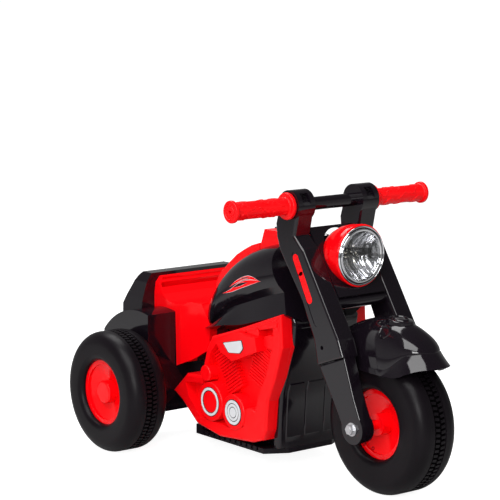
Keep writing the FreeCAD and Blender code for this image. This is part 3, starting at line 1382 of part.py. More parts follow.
def finned(shares, count_share):
    """A finned cylinder: a core block with thin plates across it, along its slope."""
    low_x, low_z = on_engine(*shares[0])
    high_x, high_z = on_engine(*shares[1])
    slope = lean(high_x - low_x, high_z - low_z)
    length = distance(high_x - low_x, high_z - low_z)

    def plate(width, height, face, up):
        x = low_x - width / 2 * cosine(slope) + up * sine(slope)
        z = low_z + width / 2 * sine(slope) + up * cosine(slope)
        return block(width, face - ENGINE_BACK, height, (x, -face, z), ACROSS, slope)

    core_width = S.cylinder_width - S.fin_thickness * 2
    parts = [plate(core_width, length, S.cylinder_core_face, size(0))]
    for i in range(count_share):
        parts.append(plate(S.cylinder_width, S.fin_thickness, S.cylinder_face, S.fin_pitch * i))
    return parts


FIN_COUNT = 15


def round_cover(share, radius, face):
    """A round boss on the cover with a bevelled face."""
    x, z = on_engine(*share)
    bevel = S.trim_thickness
    return turned([
        (0, -ENGINE_BACK - S.shell_wall), (radius, -ENGINE_BACK - S.shell_wall), (radius, -face + bevel),
        (radius - bevel, -face), (0, -face),
    ], (x, 0, z))


engine_edge = [on_engine(*point) for point in ENGINE_shares]
base = side_plate(engine_edge, ENGINE_BACK, S.engine_base)
frame = prism(engine_edge, S.engine_base - S.shell_wall, S.engine_face, S.engine_round)
floor_edge = [on_engine(*point) for point in ENGINE_FLOOR_shares]
recess = side_plate(floor_edge, S.engine_base, S.engine_face + S.overrun)
hollow = side_plate([on_engine(*point) for point in HOLLOW_shares], ENGINE_BACK - S.overrun,
                    S.engine_base - S.shell_wall)
cleaner_edge = [on_engine(*point) for point in CLEANER_shares]
details = [
    side_plate(cleaner_edge, S.engine_base - S.shell_wall, S.cleaner_face),
    round_cover(REAR_BOSS_share, S.cover_boss_radius, S.cover_boss_face),
    round_cover(FRONT_BOSS_share, S.cover_boss_front_radius, S.cover_boss_face),
    round_cover(PULLEY_BOSS_share, S.pulley_boss_radius, S.engine_face),
    round_cover(FILLER_share, S.filler_radius, S.cover_boss_face),
]
details += finned(REAR_CYLINDER_shares, FIN_COUNT) + finned(FRONT_CYLINDER_shares, FIN_COUNT)
engine_solid = fuse(cut(frame, recess), base, *details)
engine_right = cut(engine_solid, hollow, room_right)
named("engine_cover_right", engine_right)
named("engine_cover_left", mirrored(engine_right))


def trim_ring(share, outer, inner):
    x, z = on_engine(*share)
    face = S.cover_boss_face
    front = face + S.trim_thickness
    return turned([(inner, -face), (outer, -face), (outer, -front), (inner, -front)], (x, 0, z))


badge_line = [on_engine(*point) for point in BADGE_shares]
badge = side_plate(badge_line, S.cleaner_face, S.cleaner_face + S.trim_thickness)
ring_trim = trim_ring(REAR_BOSS_share, S.cover_ring_radius, S.cover_ring_radius - S.cover_ring_width)
disc_trim = trim_ring(FRONT_BOSS_share, S.cover_disc_radius, size(0))
named("engine_trims", group(*pair(badge), *pair(ring_trim), *pair(disc_trim)))

# Tray under the body, with raised stops at its rear corners

TRAY_TOP = S.body_floor - S.seat_clearance
TRAY_POCKET_shares = ((0.05, 0.3), (0.37, 0.62), (0.69, 0.94))
tray_front = S.core_front_x - S.seat_clearance
tray_plan = [
    (tray_front, -S.tray_nose_half), (tray_front, S.tray_nose_half), (tray_front - S.tray_nose, S.tray_half),
    (S.tray_rear_x, S.tray_half), (S.tray_rear_x, -S.tray_half), (tray_front - S.tray_nose, -S.tray_half),
]
tray = padded("XY_Plane", tray_plan, TRAY_TOP - S.tray_low_z, (0, 0, S.tray_low_z))
tray_run = tray_front - S.tray_nose - S.tray_rear_x
pocket_half = S.tray_half - S.tray_notch_depth * 2 - S.shell_wall
tray_cuts = []
for start, end in TRAY_POCKET_shares:
    tray_cuts.append(block(tray_run * (end - start), pocket_half * 2, S.tray_low_z,
                           (S.tray_rear_x + tray_run * start, -pocket_half, S.tray_low_z + S.shell_wall)))
NOTCH_COUNT = 12
for i in range(NOTCH_COUNT):
    notch_x = S.tray_rear_x + S.tray_notch_pitch * i + S.tray_notch
    notch = block(S.tray_notch, S.tray_notch_depth + S.overrun, S.tray_low_z,
                  (notch_x, -S.tray_half - S.overrun, S.tray_low_z + S.shell_wall))
    tray_cuts += [notch, mirrored(notch)]
peg = block(S.tray_peg_length, S.tray_peg_width, S.tray_peg_z - S.tray_low_z,
            (S.tray_rear_x, -S.tray_half, S.tray_low_z))
named("under_tray", fuse(cut(tray, room, *tray_cuts), *pair(peg)))

# Rear axle with its nuts, spacer and hub caps

REAR_HUB_END = REAR_WHEEL_Y + S.rear_hub_outer
REAR_NUT_FACE = REAR_HUB_END + S.gap_clearance + S.washer_thickness
rear_middle = (REAR_AXLE_X, 0, S.rear_tyre_radius)
named("rear_axle", across(S.axle_radius, (REAR_NUT_FACE + S.axle_end) * 2, rear_middle))
rear_nut = nut(-REAR_NUT_FACE, REAR_AXLE_X, S.rear_tyre_radius)
rear_washer = ring(S.washer_radius, axle_bore, S.washer_thickness,
                   (REAR_AXLE_X, -REAR_NUT_FACE + S.washer_thickness / 2, S.rear_tyre_radius))
named("rear_axle_nuts", group(*pair(rear_nut), *pair(rear_washer)))
HUB_START = REAR_WHEEL_Y - S.rear_hub_inner
spacer_start = S.pod_side - S.shell_wall * 2
left_spacer_radius = S.drive_hub_radius + S.gap_clearance - S.seat_clearance
left_spacer = turned([
    (axle_bore, spacer_start), (left_spacer_radius + S.shell_wall, spacer_start),
    (left_spacer_radius + S.shell_wall, spacer_start + S.shell_wall - S.seat_clearance),
    (left_spacer_radius, spacer_start + S.shell_wall - S.seat_clearance),
    (left_spacer_radius, HUB_START - S.gap_clearance), (axle_bore, HUB_START - S.gap_clearance),
], rear_middle)
named("rear_axle_spacer", left_spacer)
DISH_RUN = S.rear_rim_radius - S.flange_depth - S.hub_radius
cap_sit = S.dish_fall * (S.cap_radius - S.hub_radius) / DISH_RUN + S.seat_clearance
cap_foot = REAR_WHEEL_Y + S.bead_half - S.dish_depth - S.dish_fall + cap_sit
cap_bore = S.cap_radius - S.cap_wall
cap_top = cap_foot + S.cap_height
cap = turned([
    (cap_bore, -cap_foot), (S.cap_radius, -cap_foot), (S.cap_radius, -cap_top), (0, -cap_top),
    (0, -cap_top + S.cap_wall), (cap_bore, -cap_top + S.cap_wall),
], rear_middle)
named("hub_cap_right", rounded(cap, S.cap_round, ring_edge((S.cap_radius, -cap_top))))
named("hub_cap_left", mirrored(pieces["hub_cap_right"]))

# Drive: a motor turns the right rear wheel through a pinion, an idler and the output gear.
# Each tooth is a trapezoid; shares of the tooth pitch, and of the module over and under the
# pitch circle.

TOOTH_shares = ((-0.3, -1.25), (-0.11, 0.95), (0.11, 0.95), (0.3, -1.25))
TOOTH_ROOT_shares = ((0.28, -1.8), (-0.28, -1.8))
OUTPUT_TEETH = 38
SMALL_TEETH = 12
LARGE_TEETH = 40
PINION_TEETH = 10


def gear(teeth, module, plane, centre, phase_share):
    """A spur gear whose inner face is at a distance to the right of the middle."""
    pitch_radius = module * teeth / 2
    root = pitch_radius + module * TOOTH_shares[0][1]
    body = doc.addObject("PartDesign::Body", "Gear")
    disc = body.newObject("PartDesign::Pad", "Disc")
    disc.Profile = circle(body, "XZ_Plane", root)
    bind(disc, "Length", S.gear_face)
    corners = []
    for turn, rise in TOOTH_shares + TOOTH_ROOT_shares:
        angle = math.radians(360 * turn / teeth)
        reach = pitch_radius + module * rise
        corners.append((reach * math.sin(angle), reach * math.cos(angle)))
    tooth = body.newObject("PartDesign::Pad", "Tooth")
    tooth.Profile = outline(body, "XZ_Plane", corners)
    bind(tooth, "Length", S.gear_face)
    doc.recompute()
    teeth_ring = body.newObject("PartDesign::PolarPattern", "Teeth")
    teeth_ring.Originals = [tooth]
    teeth_ring.Axis = (origin_plane(body, "Y_Axis"), [""])
    teeth_ring.Angle = 360
    teeth_ring.Occurrences = teeth
    body.Tip = teeth_ring
    x, z = centre
    return place(body, (x, -plane, z), ACROSS, S.idler_lean + 360 * phase_share / teeth)


def up_the_line(length):
    return REAR_AXLE_X + length * sine(S.idler_lean), S.rear_tyre_radius + length * cosine(S.idler_lean)


output_at = (REAR_AXLE_X, S.rear_tyre_radius)
idler_reach = S.gear_module * (OUTPUT_TEETH + SMALL_TEETH) / 2
idler_at = up_the_line(idler_reach)
motor_at = up_the_line(idler_reach + S.pinion_module * (LARGE_TEETH + PINION_TEETH) / 2)
LARGE_PLANE = S.gear_plane - S.case_gap - S.gear_face


def at_right(radius, start, end, centre):
    return right_of(radius, start, end, *centre)


output_end = S.gear_plane + S.gear_face
dog_start = S.pod_side + S.gap_clearance * 5
dog_floor = HUB_START - S.gap_clearance
dog_inner = S.hub_radius + S.seat_clearance
output_solid = fuse(
    gear(OUTPUT_TEETH, S.gear_module, S.gear_plane, output_at, 0),
    at_right(S.drive_hub_radius, output_end - S.overrun, dog_floor, output_at),
    at_right(dog_inner + S.dog_wall, dog_start, HUB_START + S.dog_length, output_at),
)
named("output_gear", cut(
    output_solid,
    at_right(axle_bore, S.gear_plane - S.overrun, REAR_HUB_END, output_at),
    at_right(dog_inner, dog_floor, REAR_HUB_END, output_at),
))
idler_solid = fuse(
    gear(LARGE_TEETH, S.pinion_module, LARGE_PLANE, idler_at, 0),
    gear(SMALL_TEETH, S.gear_module, S.gear_plane, idler_at, 0.5),
    at_right(S.idler_shaft_radius * 2, LARGE_PLANE, output_end, idler_at),
)
CASE_START = LARGE_PLANE - S.case_gap - S.case_wall
CASE_END = S.pod_side - S.shell_wall - S.seat_clearance
idler_shaft = at_right(S.idler_shaft_radius, CASE_START, CASE_END, idler_at)
named("idler_gear", fuse(idler_solid, idler_shaft))
shaft_start = CASE_START - S.motor_length / 2
pinion_shaft = at_right(S.idler_shaft_radius, shaft_start, LARGE_PLANE + S.gear_face, motor_at)
pinion = gear(PINION_TEETH, S.pinion_module, LARGE_PLANE, motor_at, 0.5)
named("motor_pinion", fuse(pinion, pinion_shaft))
shaft_bore = S.idler_shaft_radius + S.running_clearance
motor_face = CASE_START - S.seat_clearance
motor_solid = at_right(S.motor_radius, motor_face - S.motor_length, motor_face, motor_at)
named("motor", cut(motor_solid, at_right(shaft_bore, shaft_start - S.seat_clearance, CASE_END, motor_at)))


def case_form(inset, start, end):
    wall = S.case_gap + S.case_wall - inset
    radii = (
        (S.gear_module * (OUTPUT_TEETH / 2 + 1), output_at),
        (S.pinion_module * (LARGE_TEETH / 2 + 1), idler_at),
        (S.motor_radius, motor_at),
    )
    return fuse(*[at_right(radius + wall, start, end, centre) for radius, centre in radii])


case_solid = case_form(size(0), CASE_START, CASE_END)
case_room = case_form(S.case_wall, CASE_START + S.case_wall, CASE_END - S.case_wall)
named("gearbox_case", cut(
    case_solid, case_room,
    at_right(axle_bore + S.seat_clearance, size(0), S.gear_plane, output_at),
    at_right(S.drive_hub_radius + S.gap_clearance, S.gear_plane, S.rear_track, output_at),
    at_right(shaft_bore, size(0), S.rear_track, idler_at),
    at_right(S.idler_shaft_radius + S.gap_clearance, size(0), S.gear_plane, motor_at),
))

# Battery and speaker on the floor, charging socket in the rear face

FLOOR_Z = S.body_floor + S.shell_wall + S.seat_clearance
battery_half = S.battery_width / 2
named("battery", block(S.battery_length, S.battery_width, S.battery_height,
                       (S.battery_rear_x, -battery_half, FLOOR_Z)))
SPEAKER_CONE_share = 0.8
cone = S.speaker_radius * SPEAKER_CONE_share
speaker_profile = [
    (0, S.speaker_height / 2), (cone, S.speaker_height - S.trim_thickness), (cone, S.speaker_height),
    (S.speaker_radius, S.speaker_height), (S.speaker_radius, S.speaker_height - S.shell_wall),
    (S.speaker_radius / 2, 0), (0, 0),
]
named("speaker", turned(speaker_profile, (S.speaker_x, 0, FLOOR_Z), AHEAD, 90))
socket_flange = S.socket_radius + S.socket_flange
named("charge_socket", turned([
    (0, -S.socket_length), (S.socket_radius, -S.socket_length), (S.socket_radius, S.seat_clearance),
    (socket_flange, S.seat_clearance), (socket_flange, S.socket_flange),
    (S.socket_bore_radius, S.socket_flange),
    (S.socket_bore_radius, S.socket_flange - S.socket_bore_depth), (0, S.socket_flange - S.socket_bore_depth),
], (CORE_REAR_X, S.socket_y, S.socket_z), UP, 90))



# Check every object and piece, then write the pieces

doc.recompute()
for item in doc.Objects:
    for state in ("Invalid", "Error"):
        if state in item.State:
            raise RuntimeError(item.Label + " is " + state)
os.makedirs("parts", exist_ok=True)
for label, item in pieces.items():
    shape = item.Shape
    if shape.isNull() or not shape.isValid() or not shape.Solids:
        raise RuntimeError(label + " has no valid solid")
    shape.exportStep("parts/" + label + ".step")
    box = shape.BoundBox
    spans = [round(v, 1) for v in (box.XMin, box.XMax, box.YMin, box.YMax, box.ZMin, box.ZMax)]
    print(label, len(shape.Solids), "solids", round(shape.Volume), "mm3", spans)
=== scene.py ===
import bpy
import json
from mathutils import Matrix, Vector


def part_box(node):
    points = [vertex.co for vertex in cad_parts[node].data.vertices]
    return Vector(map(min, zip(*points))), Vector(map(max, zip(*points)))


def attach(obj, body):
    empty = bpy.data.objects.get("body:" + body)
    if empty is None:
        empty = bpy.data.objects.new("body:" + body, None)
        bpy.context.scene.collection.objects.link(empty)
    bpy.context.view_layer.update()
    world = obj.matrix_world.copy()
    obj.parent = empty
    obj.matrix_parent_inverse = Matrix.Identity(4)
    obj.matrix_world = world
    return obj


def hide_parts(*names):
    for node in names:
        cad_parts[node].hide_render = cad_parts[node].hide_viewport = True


bl_info = {
    "name": "Ride-on motorcycle",
    "version": (1, 0, 0),
    "blender": (4, 5, 0),
    "location": "View3D > Sidebar > Ride-on",
    "description": "Dresses the frame of a child's three-wheeled ride-on motorcycle",
    "category": "Add Mesh",
}

import json
import math

import bmesh
import bpy
from bpy.props import FloatProperty, FloatVectorProperty, IntProperty, PointerProperty
from mathutils import Matrix, Vector
from mathutils.bvhtree import BVHTree

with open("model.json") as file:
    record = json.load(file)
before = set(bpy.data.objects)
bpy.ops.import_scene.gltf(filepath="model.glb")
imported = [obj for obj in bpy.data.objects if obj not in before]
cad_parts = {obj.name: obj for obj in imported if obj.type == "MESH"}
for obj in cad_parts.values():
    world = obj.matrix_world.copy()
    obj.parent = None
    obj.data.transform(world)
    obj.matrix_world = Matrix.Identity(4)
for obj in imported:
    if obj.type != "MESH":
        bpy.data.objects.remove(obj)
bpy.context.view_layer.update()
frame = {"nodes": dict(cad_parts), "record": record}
MM = 0.001
MERGE = 0.001 * MM
CLOSE = 0.01 * MM
QUARTER = math.radians(90)
AHEAD = Vector((1, 0, 0))
ACROSS = Vector((0, 1, 0))
UP = Vector((0, 0, 1))
RIGHT_SIDE = -1
LEFT_SIDE = 1
SIDES = ((RIGHT_SIDE, "right"), (LEFT_SIDE, "left"))

# Where rays start, in metres: beside the whole object and above the mudguard
BESIDE = 0.3
ABOVE = 0.4


# Shader maths

class Value:
    """A shader socket that takes part in Python sums; each sum adds its Math node."""

    def __init__(self, finish, socket):
        self.finish = finish
        self.socket = socket

    def math(self, operation, *terms):
        return self.finish.node("ShaderNodeMath", {"operation": operation}, terms)

    def __add__(self, other):
        return self.math("ADD", self, other)

    def __radd__(self, other):
        return self.math("ADD", other, self)

    def __sub__(self, other):
        return self.math("SUBTRACT", self, other)

    def __rsub__(self, other):
        return self.math("SUBTRACT", other, self)

    def __mul__(self, other):
        return self.math("MULTIPLY", self, other)

    def __rmul__(self, other):
        return self.math("MULTIPLY", other, self)

    def __truediv__(self, other):
        return self.math("DIVIDE", self, other)

    def __rtruediv__(self, other):
        return self.math("DIVIDE", other, self)

    def least(self, other):
        return self.math("MINIMUM", self, other)

    def most(self, other):
        return self.math("MAXIMUM", self, other)

    def size(self):
        return self.math("ABSOLUTE", self)

    def clipped(self):
        return self.most(0.0).least(1.0)

    def ramp(self, low, high):
        """0 below low, 1 above high, straight between them."""
        return ((self - low) / (high - low)).clipped()


class Finish:
    """Nodes of a new material around its Principled shader, or of a tree that is given."""

    def __init__(self, name, tree=None):
        if tree is None:
            self.material = bpy.data.materials.new(name)
            self.material.use_nodes = True
            tree = self.material.node_tree
            self.shader = tree.nodes["Principled BSDF"]
        self.tree = tree

    def feed(self, socket, value):
        """Link a Value to a socket, or write a plain value on it."""
        if isinstance(value, Value):
            self.tree.links.new(value.socket, socket)
        else:
            socket.default_value = value

    def node(self, kind, settings, sockets, output=0):
        """Add a node: its settings first, then its sockets by place or by identifier."""
        node = self.tree.nodes.new(kind)
        for name, value in settings.items():
            setattr(node, name, value)
        if isinstance(sockets, dict):
            places = {socket.identifier: socket for socket in node.inputs}
            pairs = [(places[name], value) for name, value in sockets.items()]
        else:
            pairs = zip(node.inputs, sockets)
        for socket, value in pairs:
            self.feed(socket, value)
        if isinstance(output, str):
            output = [socket.identifier for socket in node.outputs].index(output)
        return Value(self, node.outputs[output])

    def coordinates(self, kind):
        return self.node("ShaderNodeTexCoord", {}, {}, kind)

    def axis(self, spot, name):
        return self.node("ShaderNodeSeparateXYZ", {}, (spot,), name)

    def ray(self, kind):
        return self.node("ShaderNodeLightPath", {}, {}, kind)

    def stretched(self, x, y, z):
        return self.node("ShaderNodeMapping", {}, {"Vector": self.coordinates("Object"), "Scale": (x, y, z)})

    def noise(self, scale, detail=3.0, roughness=0.5, spot=None):
        spot = spot or self.coordinates("Object")
        sockets = {"Vector": spot, "Scale": scale, "Detail": detail, "Roughness": roughness}
        return self.node("ShaderNodeTexNoise", {}, sockets, "Fac")

    def blend(self, share, low, high):
        """Blend two colours by a share from 0 to 1."""
        sockets = {"Factor_Float": share}
        for name, colour in (("A_Color", low), ("B_Color", high)):
            sockets[name] = colour if isinstance(colour, Value) else (*colour, 1.0)
        return self.node("ShaderNodeMix", {"data_type": "RGBA"}, sockets, "Result_Color")

    def bump(self, height, distance):
        return self.node("ShaderNodeBump", {}, {"Height": height, "Distance": distance})

    def set(self, **values):
        """Feed the Principled shader's sockets, which are named with _ for a space."""
        for name, value in values.items():
            if isinstance(value, tuple) and len(value) == 3:
                value = (*value, 1.0)
            self.feed(self.shader.inputs[name.replace("_", " ")], value)


def shaded(colour, gain):
    return tuple(min(1.0, channel * gain) for channel in colour)


def plastic(name, colour, gloss, grain_scale, grain, spread, shine):
    """Moulded plastic: cloudy tone, a skin with waves or sand, and fine wear in its gloss."""
    finish = Finish(name)
    skin = finish.noise(grain_scale, 2.0, 0.5)
    cloud = finish.noise(14.0, 3.0)
    wear = finish.noise(300.0, 4.0, 0.7)
    tone = finish.blend(cloud, shaded(colour, 0.88), shaded(colour, 1.12))
    rough = (gloss + (cloud - 0.5) * spread + (wear - 0.5) * (spread * 0.5)).clipped()
    finish.set(
        Base_Color=tone, Roughness=rough, Specular_IOR_Level=shine, Normal=finish.bump(skin, grain),
    )


def plated(name, colour, gloss, marks_depth=0.01 * MM):
    """Chrome plate or turned metal, with fine marks and a cloudy gloss."""
    finish = Finish(name)
    marks = finish.noise(1.0, 3.0, 0.6, finish.stretched(60.0, 900.0, 60.0))
    cloud = finish.noise(35.0, 2.0)
    tone = finish.blend(cloud, shaded(colour, 0.85), shaded(colour, 1.05))
    rough = (gloss + (marks - 0.5) * 0.1 + (cloud - 0.5) * 0.05).clipped()
    finish.set(Base_Color=tone, Metallic=1.0, Roughness=rough, Normal=finish.bump(marks, marks_depth))


def tyre_skin(name, colour):
    """Blown black plastic of the tyres: satin, with pores and rubbed dust."""
    finish = Finish(name)
    pores = finish.noise(650.0, 3.0, 0.6)
    cloud = finish.noise(16.0, 4.0, 0.6)
    tone = finish.blend(cloud, shaded(colour, 0.75), shaded(colour, 1.5))
    rough = 0.3 + cloud * 0.14 + (pores - 0.5) * 0.08
    finish.set(
        Base_Color=tone, Roughness=rough, Specular_IOR_Level=0.13, Normal=finish.bump(pores, 0.05 * MM),
    )


def fluted_mirror(name, colour):
    """The lamp's bowl: chrome with painted reflections in its colour, as upright dark bars, a ragged dark
    middle band and brighter sides.
    """
    finish = Finish(name)
    lamp_level, painted_highlight_start, bar_scale = 381 * MM, 33 * MM, 75.0
    spot = finish.coordinates("Object")
    across, level = finish.axis(spot, "Y"), finish.axis(spot, "Z")
    # Upright dark bars: painted reflection, darkening the chrome's colour.
    bars = finish.noise(1.0, 1.0, 0.5, finish.stretched(0.0, bar_scale, 0.0)).ramp(0.38, 0.5)
    # Brighter sides away from the middle: painted highlight.
    edge = (across.size() - painted_highlight_start).ramp(0.0, 4 * MM)
    # A ragged dark band about the lamp's level: painted dark reflection.
    ragged = (finish.noise(60.0, 1.0) - 0.5) * (10 * MM)
    clear = (level - lamp_level + ragged).size().ramp(8 * MM, 13 * MM)
    # The painted reflections together set how bright the chrome's colour is.
    bright = (bars * (0.06 + clear * 0.94)).most(edge * 0.6)
    tone = finish.blend(bright, shaded(colour, 0.03), colour)
    finish.set(Base_Color=tone, Metallic=0.95, Roughness=0.1 + bars * 0.05)


def clear_moulding(name, colour):
    """Clear plastic with a faint haze."""
    finish = Finish(name)
    haze = finish.noise(70.0, 2.0)
    tone = finish.blend(haze, shaded(colour, 0.96), colour)
    finish.set(Base_Color=tone, Roughness=0.02 + haze * 0.02, IOR=1.49, Transmission_Weight=1.0)


# Settings

def colour_setting(name, description, default):
    return FloatVectorProperty(
        name=name, description=description, default=default, size=3, min=0.0, max=1.0, subtype="COLOR",
    )


def length_setting(name, description, default):
    return FloatProperty(name=name, description=description, default=default, min=0.0, unit="LENGTH")


class RideOnColours(bpy.types.PropertyGroup):
    """Colours of the plastics and metals."""

    black: colour_setting("Black plastic", "Body, fork, mudguard and tray", (0.0052, 0.0034, 0.0056))
    red: colour_setting("Red plastic", "Seat, rims, grips and engine covers", (0.93, 0.0012, 0.004))
    tyre: colour_setting("Tyre plastic", "Blown tyres", (0.0046, 0.0032, 0.0046))
    chrome: colour_setting("Chrome", "Lamp rings and the lamp's bowl", (0.80, 0.80, 0.82))
    silver: colour_setting("Silver trim", "Badge plates and rings of the engine covers", (0.62, 0.63, 0.65))
    steel: colour_setting("Steel", "Axles, nuts and screws", (0.50, 0.50, 0.52))
    pale: colour_setting("Pale plastic", "Gears and bushes", (0.72, 0.70, 0.64))
    clear: colour_setting("Clear plastic", "Lamp lens", (0.96, 0.97, 0.98))
    button: colour_setting("Button plastic", "Buttons and rocker on the dash", (0.55, 0.55, 0.56))
    battery: colour_setting("Battery case", "Battery under the seat", (0.03, 0.032, 0.036))
    bulb: colour_setting("Bulb", "Bulb in the lamp", (0.9, 0.86, 0.74))


class RideOnSizes(bpy.types.PropertyGroup):
    """Sizes of the pieces that are modelled here."""

    tread_bars: IntProperty(name="Tread bars", description="Bars round one row of a tyre", default=84, min=12)
    tread_bar: length_setting("Tread bar", "Length of a bar across the tyre", 8.5 * MM)
    tread_gap: length_setting("Tread middle", "Gap between the two rows of bars", 3.4 * MM)
    tread_rise: length_setting("Tread rise", "Height of a bar above its band", 2.3 * MM)
    tyre_wall: length_setting("Tyre wall", "Thickness of a tyre", 5 * MM)
    shoulder: length_setting("Tyre shoulder", "Round between side and tread", 22 * MM)
    bulge: length_setting("Tyre bulge", "From the rim to the widest place, radially", 11 * MM)
    flute_pitch: length_setting("Flute pitch", "Upright flutes of the lamp's bowl", 6.5 * MM)
    flute_depth: length_setting("Flute depth", "Upright flutes of the lamp's bowl", 0.7 * MM)
    band_half: length_setting("Fork band", "Half the width of the red band on a fork leg", 6.8 * MM)
    streak_edge: length_setting("Streak edge", "Pale edge of the streaks on the tank", 1.1 * MM)
    grip_rib: length_setting("Grip rib", "Half thickness of the waved ribs on a grip", 1.5 * MM)
    guard_wall: length_setting("Mudguard wall", "Thickness of the front mudguard", 2.4 * MM)
    shield_half: length_setting("Body front", "Half the width of the body between the engine covers", 71 * MM)
    trim_rise: length_setting("Trim rise", "Pale trims above the engine cover", 1.2 * MM)


# Making pieces

def keep(name, mesh, body, finish, nodes=(), crease=35.0):
    """Turn a finished bmesh into a piece that rides on a body and stands for CAD nodes."""
    data = bpy.data.meshes.new(name)
    mesh.to_mesh(data)
    mesh.free()
    data.shade_smooth()
    data.set_sharp_from_angle(angle=math.radians(crease))
    data.materials.append(bpy.data.materials[finish])
    piece = bpy.data.objects.new(name, data)
    bpy.context.collection.objects.link(piece)
    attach(piece, body)
    if nodes:
        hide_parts(*nodes)


def corners_of(node):
    """Lowest and highest corner of a CAD node."""
    return [Vector(corner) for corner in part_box(node)]


def front_of(node):
    """Middle of the front face of a CAD node's box."""
    low, high = corners_of(node)
    return Vector((high.x, (low.y + high.y) / 2, (low.z + high.z) / 2))


def metres(points):
    """Pairs in millimetres, turned into metres."""
    return [(first * MM, second * MM) for first, second in points]


def spun(profile, centre, steps=96, axis=ACROSS, aside=UP, closed=True):
    """Spin (along, radius) points about a line through a centre, starting where aside points."""
    mesh = bmesh.new()
    points = [mesh.verts.new(centre + axis * along + aside * radius) for along, radius in profile]
    ends = points[1:] + points[:1] if closed else points[1:]
    edges = [mesh.edges.new(pair) for pair in zip(points, ends)]
    bmesh.ops.spin(
        mesh, geom=points + edges, cent=centre, axis=axis, angle=math.tau, steps=steps, use_merge=True,
    )
    bmesh.ops.remove_doubles(mesh, verts=mesh.verts, dist=MERGE)
    bmesh.ops.recalc_face_normals(mesh, faces=mesh.faces)
    return mesh


def turned(outline, centre, axis, steps):
    """Spin an outline in millimetres, which starts and ends as it is given, about a leaning line."""
    return spun(metres(outline), centre, steps, axis, axis.orthogonal().normalized(), closed=False)


def round_corner(middle, radius, start, end, steps):
    """Points on an arc about a middle, from one angle to another, in degrees."""
    points = []
    for step in range(steps + 1):
        angle = math.radians(start + (end - start) * step / steps)
        points.append((middle[0] + radius * math.cos(angle), middle[1] + radius * math.sin(angle)))
    return points


def slab(outline, low, high):
    """Fill an outline of (x, z) points and give it thickness along Y."""
    mesh = bmesh.new()
    face = mesh.faces.new([mesh.verts.new((x, low, z)) for x, z in outline])
    grown = bmesh.ops.extrude_face_region(mesh, geom=[face])["geom"]
    moved = [item for item in grown if isinstance(item, bmesh.types.BMVert)]
    bmesh.ops.translate(mesh, vec=(0, high - low, 0), verts=moved)
    bmesh.ops.recalc_face_normals(mesh, faces=mesh.faces)
    return mesh


def skin_of(node):
    """The surface of a CAD node, to lay thin pieces on."""
    mesh = bmesh.new()
    mesh.from_mesh(frame["nodes"][node].data)
    bmesh.ops.remove_doubles(mesh, verts=mesh.verts, dist=MERGE)
    tree = BVHTree.FromBMesh(mesh)
    mesh.free()
    return tree


def struck(skin, side, x, z):
    """Place and normal where a level ray from one side meets a skin."""
    spot, normal, _, _ = skin.ray_cast(Vector((x, side * BESIDE, z)), ACROSS * -side)
    if spot is None:
        raise RuntimeError("a thin piece leaves the surface that it lies on")
    return spot, normal


def film(outlines, skin, side, lift, cell=3 * MM, rounds=4):
    """Fill the first outline of (x, z) points but for the others, and lay it on a skin from one side."""
    mesh = bmesh.new()
    edges = []
    for outline in outlines:
        corners = [mesh.verts.new((x, 0, z)) for x, z in outline]
        edges += [mesh.edges.new(pair) for pair in zip(corners, corners[1:] + corners[:1])]
    bmesh.ops.triangle_fill(mesh, edges=edges, use_beauty=True, use_dissolve=False)
    for _ in range(rounds):
        long = [edge for edge in mesh.edges if edge.calc_length() > cell]
        if long:
            bmesh.ops.subdivide_edges(mesh, edges=long, cuts=1)
            bmesh.ops.triangulate(mesh, faces=mesh.faces, quad_method="BEAUTY", ngon_method="BEAUTY")
    for vert in mesh.verts:
        spot, normal = struck(skin, side, vert.co.x, vert.co.z)
        vert.co = spot + normal * lift
    bmesh.ops.recalc_face_normals(mesh, faces=mesh.faces)
    return mesh


def smooth_line(points, steps=6):
    """Points on a smooth curve through the given ones."""
    ends = [points[0] * 2 - points[1], *points, points[-1] * 2 - points[-2]]
    line = []
    for a, b, c, d in zip(ends, ends[1:], ends[2:], ends[3:]):
        for step in range(steps):
            share = step / steps
            line.append((
                b * 2 + (c - a) * share + (a * 2 - b * 5 + c * 4 - d) * share ** 2
                + (b * 3 - a - c * 3 + d) * share ** 3
            ) / 2)
    return line + [points[-1]]


def rounded(corners, radius, steps=5):
    """An outline with its corners cut round."""
    outline = []
    for before, corner, after in zip(corners[-1:] + corners[:-1], corners, corners[1:] + corners[:1]):
        start = corner + (before - corner).normalized() * radius
        end = corner + (after - corner).normalized() * radius
        for step in range(steps + 1):
            share = step / steps
            outline.append(start * (1 - share) ** 2 + corner * 2 * share * (1 - share) + end * share ** 2)
    return outline


# Tyres: CAD node, body and radius of the bead in millimetres
TYRES = (
    ("front_tyre", "front_wheel", 58),
    ("rear_tyre_right", "rear_wheel_right", 57),
    ("rear_tyre_left", "rear_wheel_left", 57),
)
BEAD_HALF = 29 * MM


def tyre_profile(half, radius, bead, sizes):
    """Closed outline of a hollow tyre, as (along, radius) points."""
    lip, slope, ledge = 1.5 * MM, 0.8 * MM, 2 * MM
    band = sizes.tread_bar + sizes.tread_gap / 2 + 1.5 * MM
    sunk = radius - sizes.tread_rise
    shoulder = sizes.shoulder
    widest = bead + sizes.bulge
    wall = sizes.tyre_wall
    outer = [(BEAD_HALF, bead), (BEAD_HALF, bead + lip)]
    outer += round_corner((half - sizes.bulge, widest), sizes.bulge, -80, 0, 6)
    outer += round_corner((half - shoulder, radius - shoulder), shoulder, 0, 90, 10)
    outer += [(band + slope, radius), (band, sunk), (band - ledge, sunk)]
    inner = [(BEAD_HALF - wall, bead), (half - wall, widest)]
    inner += round_corner((half - shoulder, radius - shoulder), shoulder - wall, 0, 90, 6)
    outline = outer + [(-along, across) for along, across in reversed(outer)]
    outline += [(-along, across) for along, across in inner]
    outline += list(reversed(inner))
    return outline


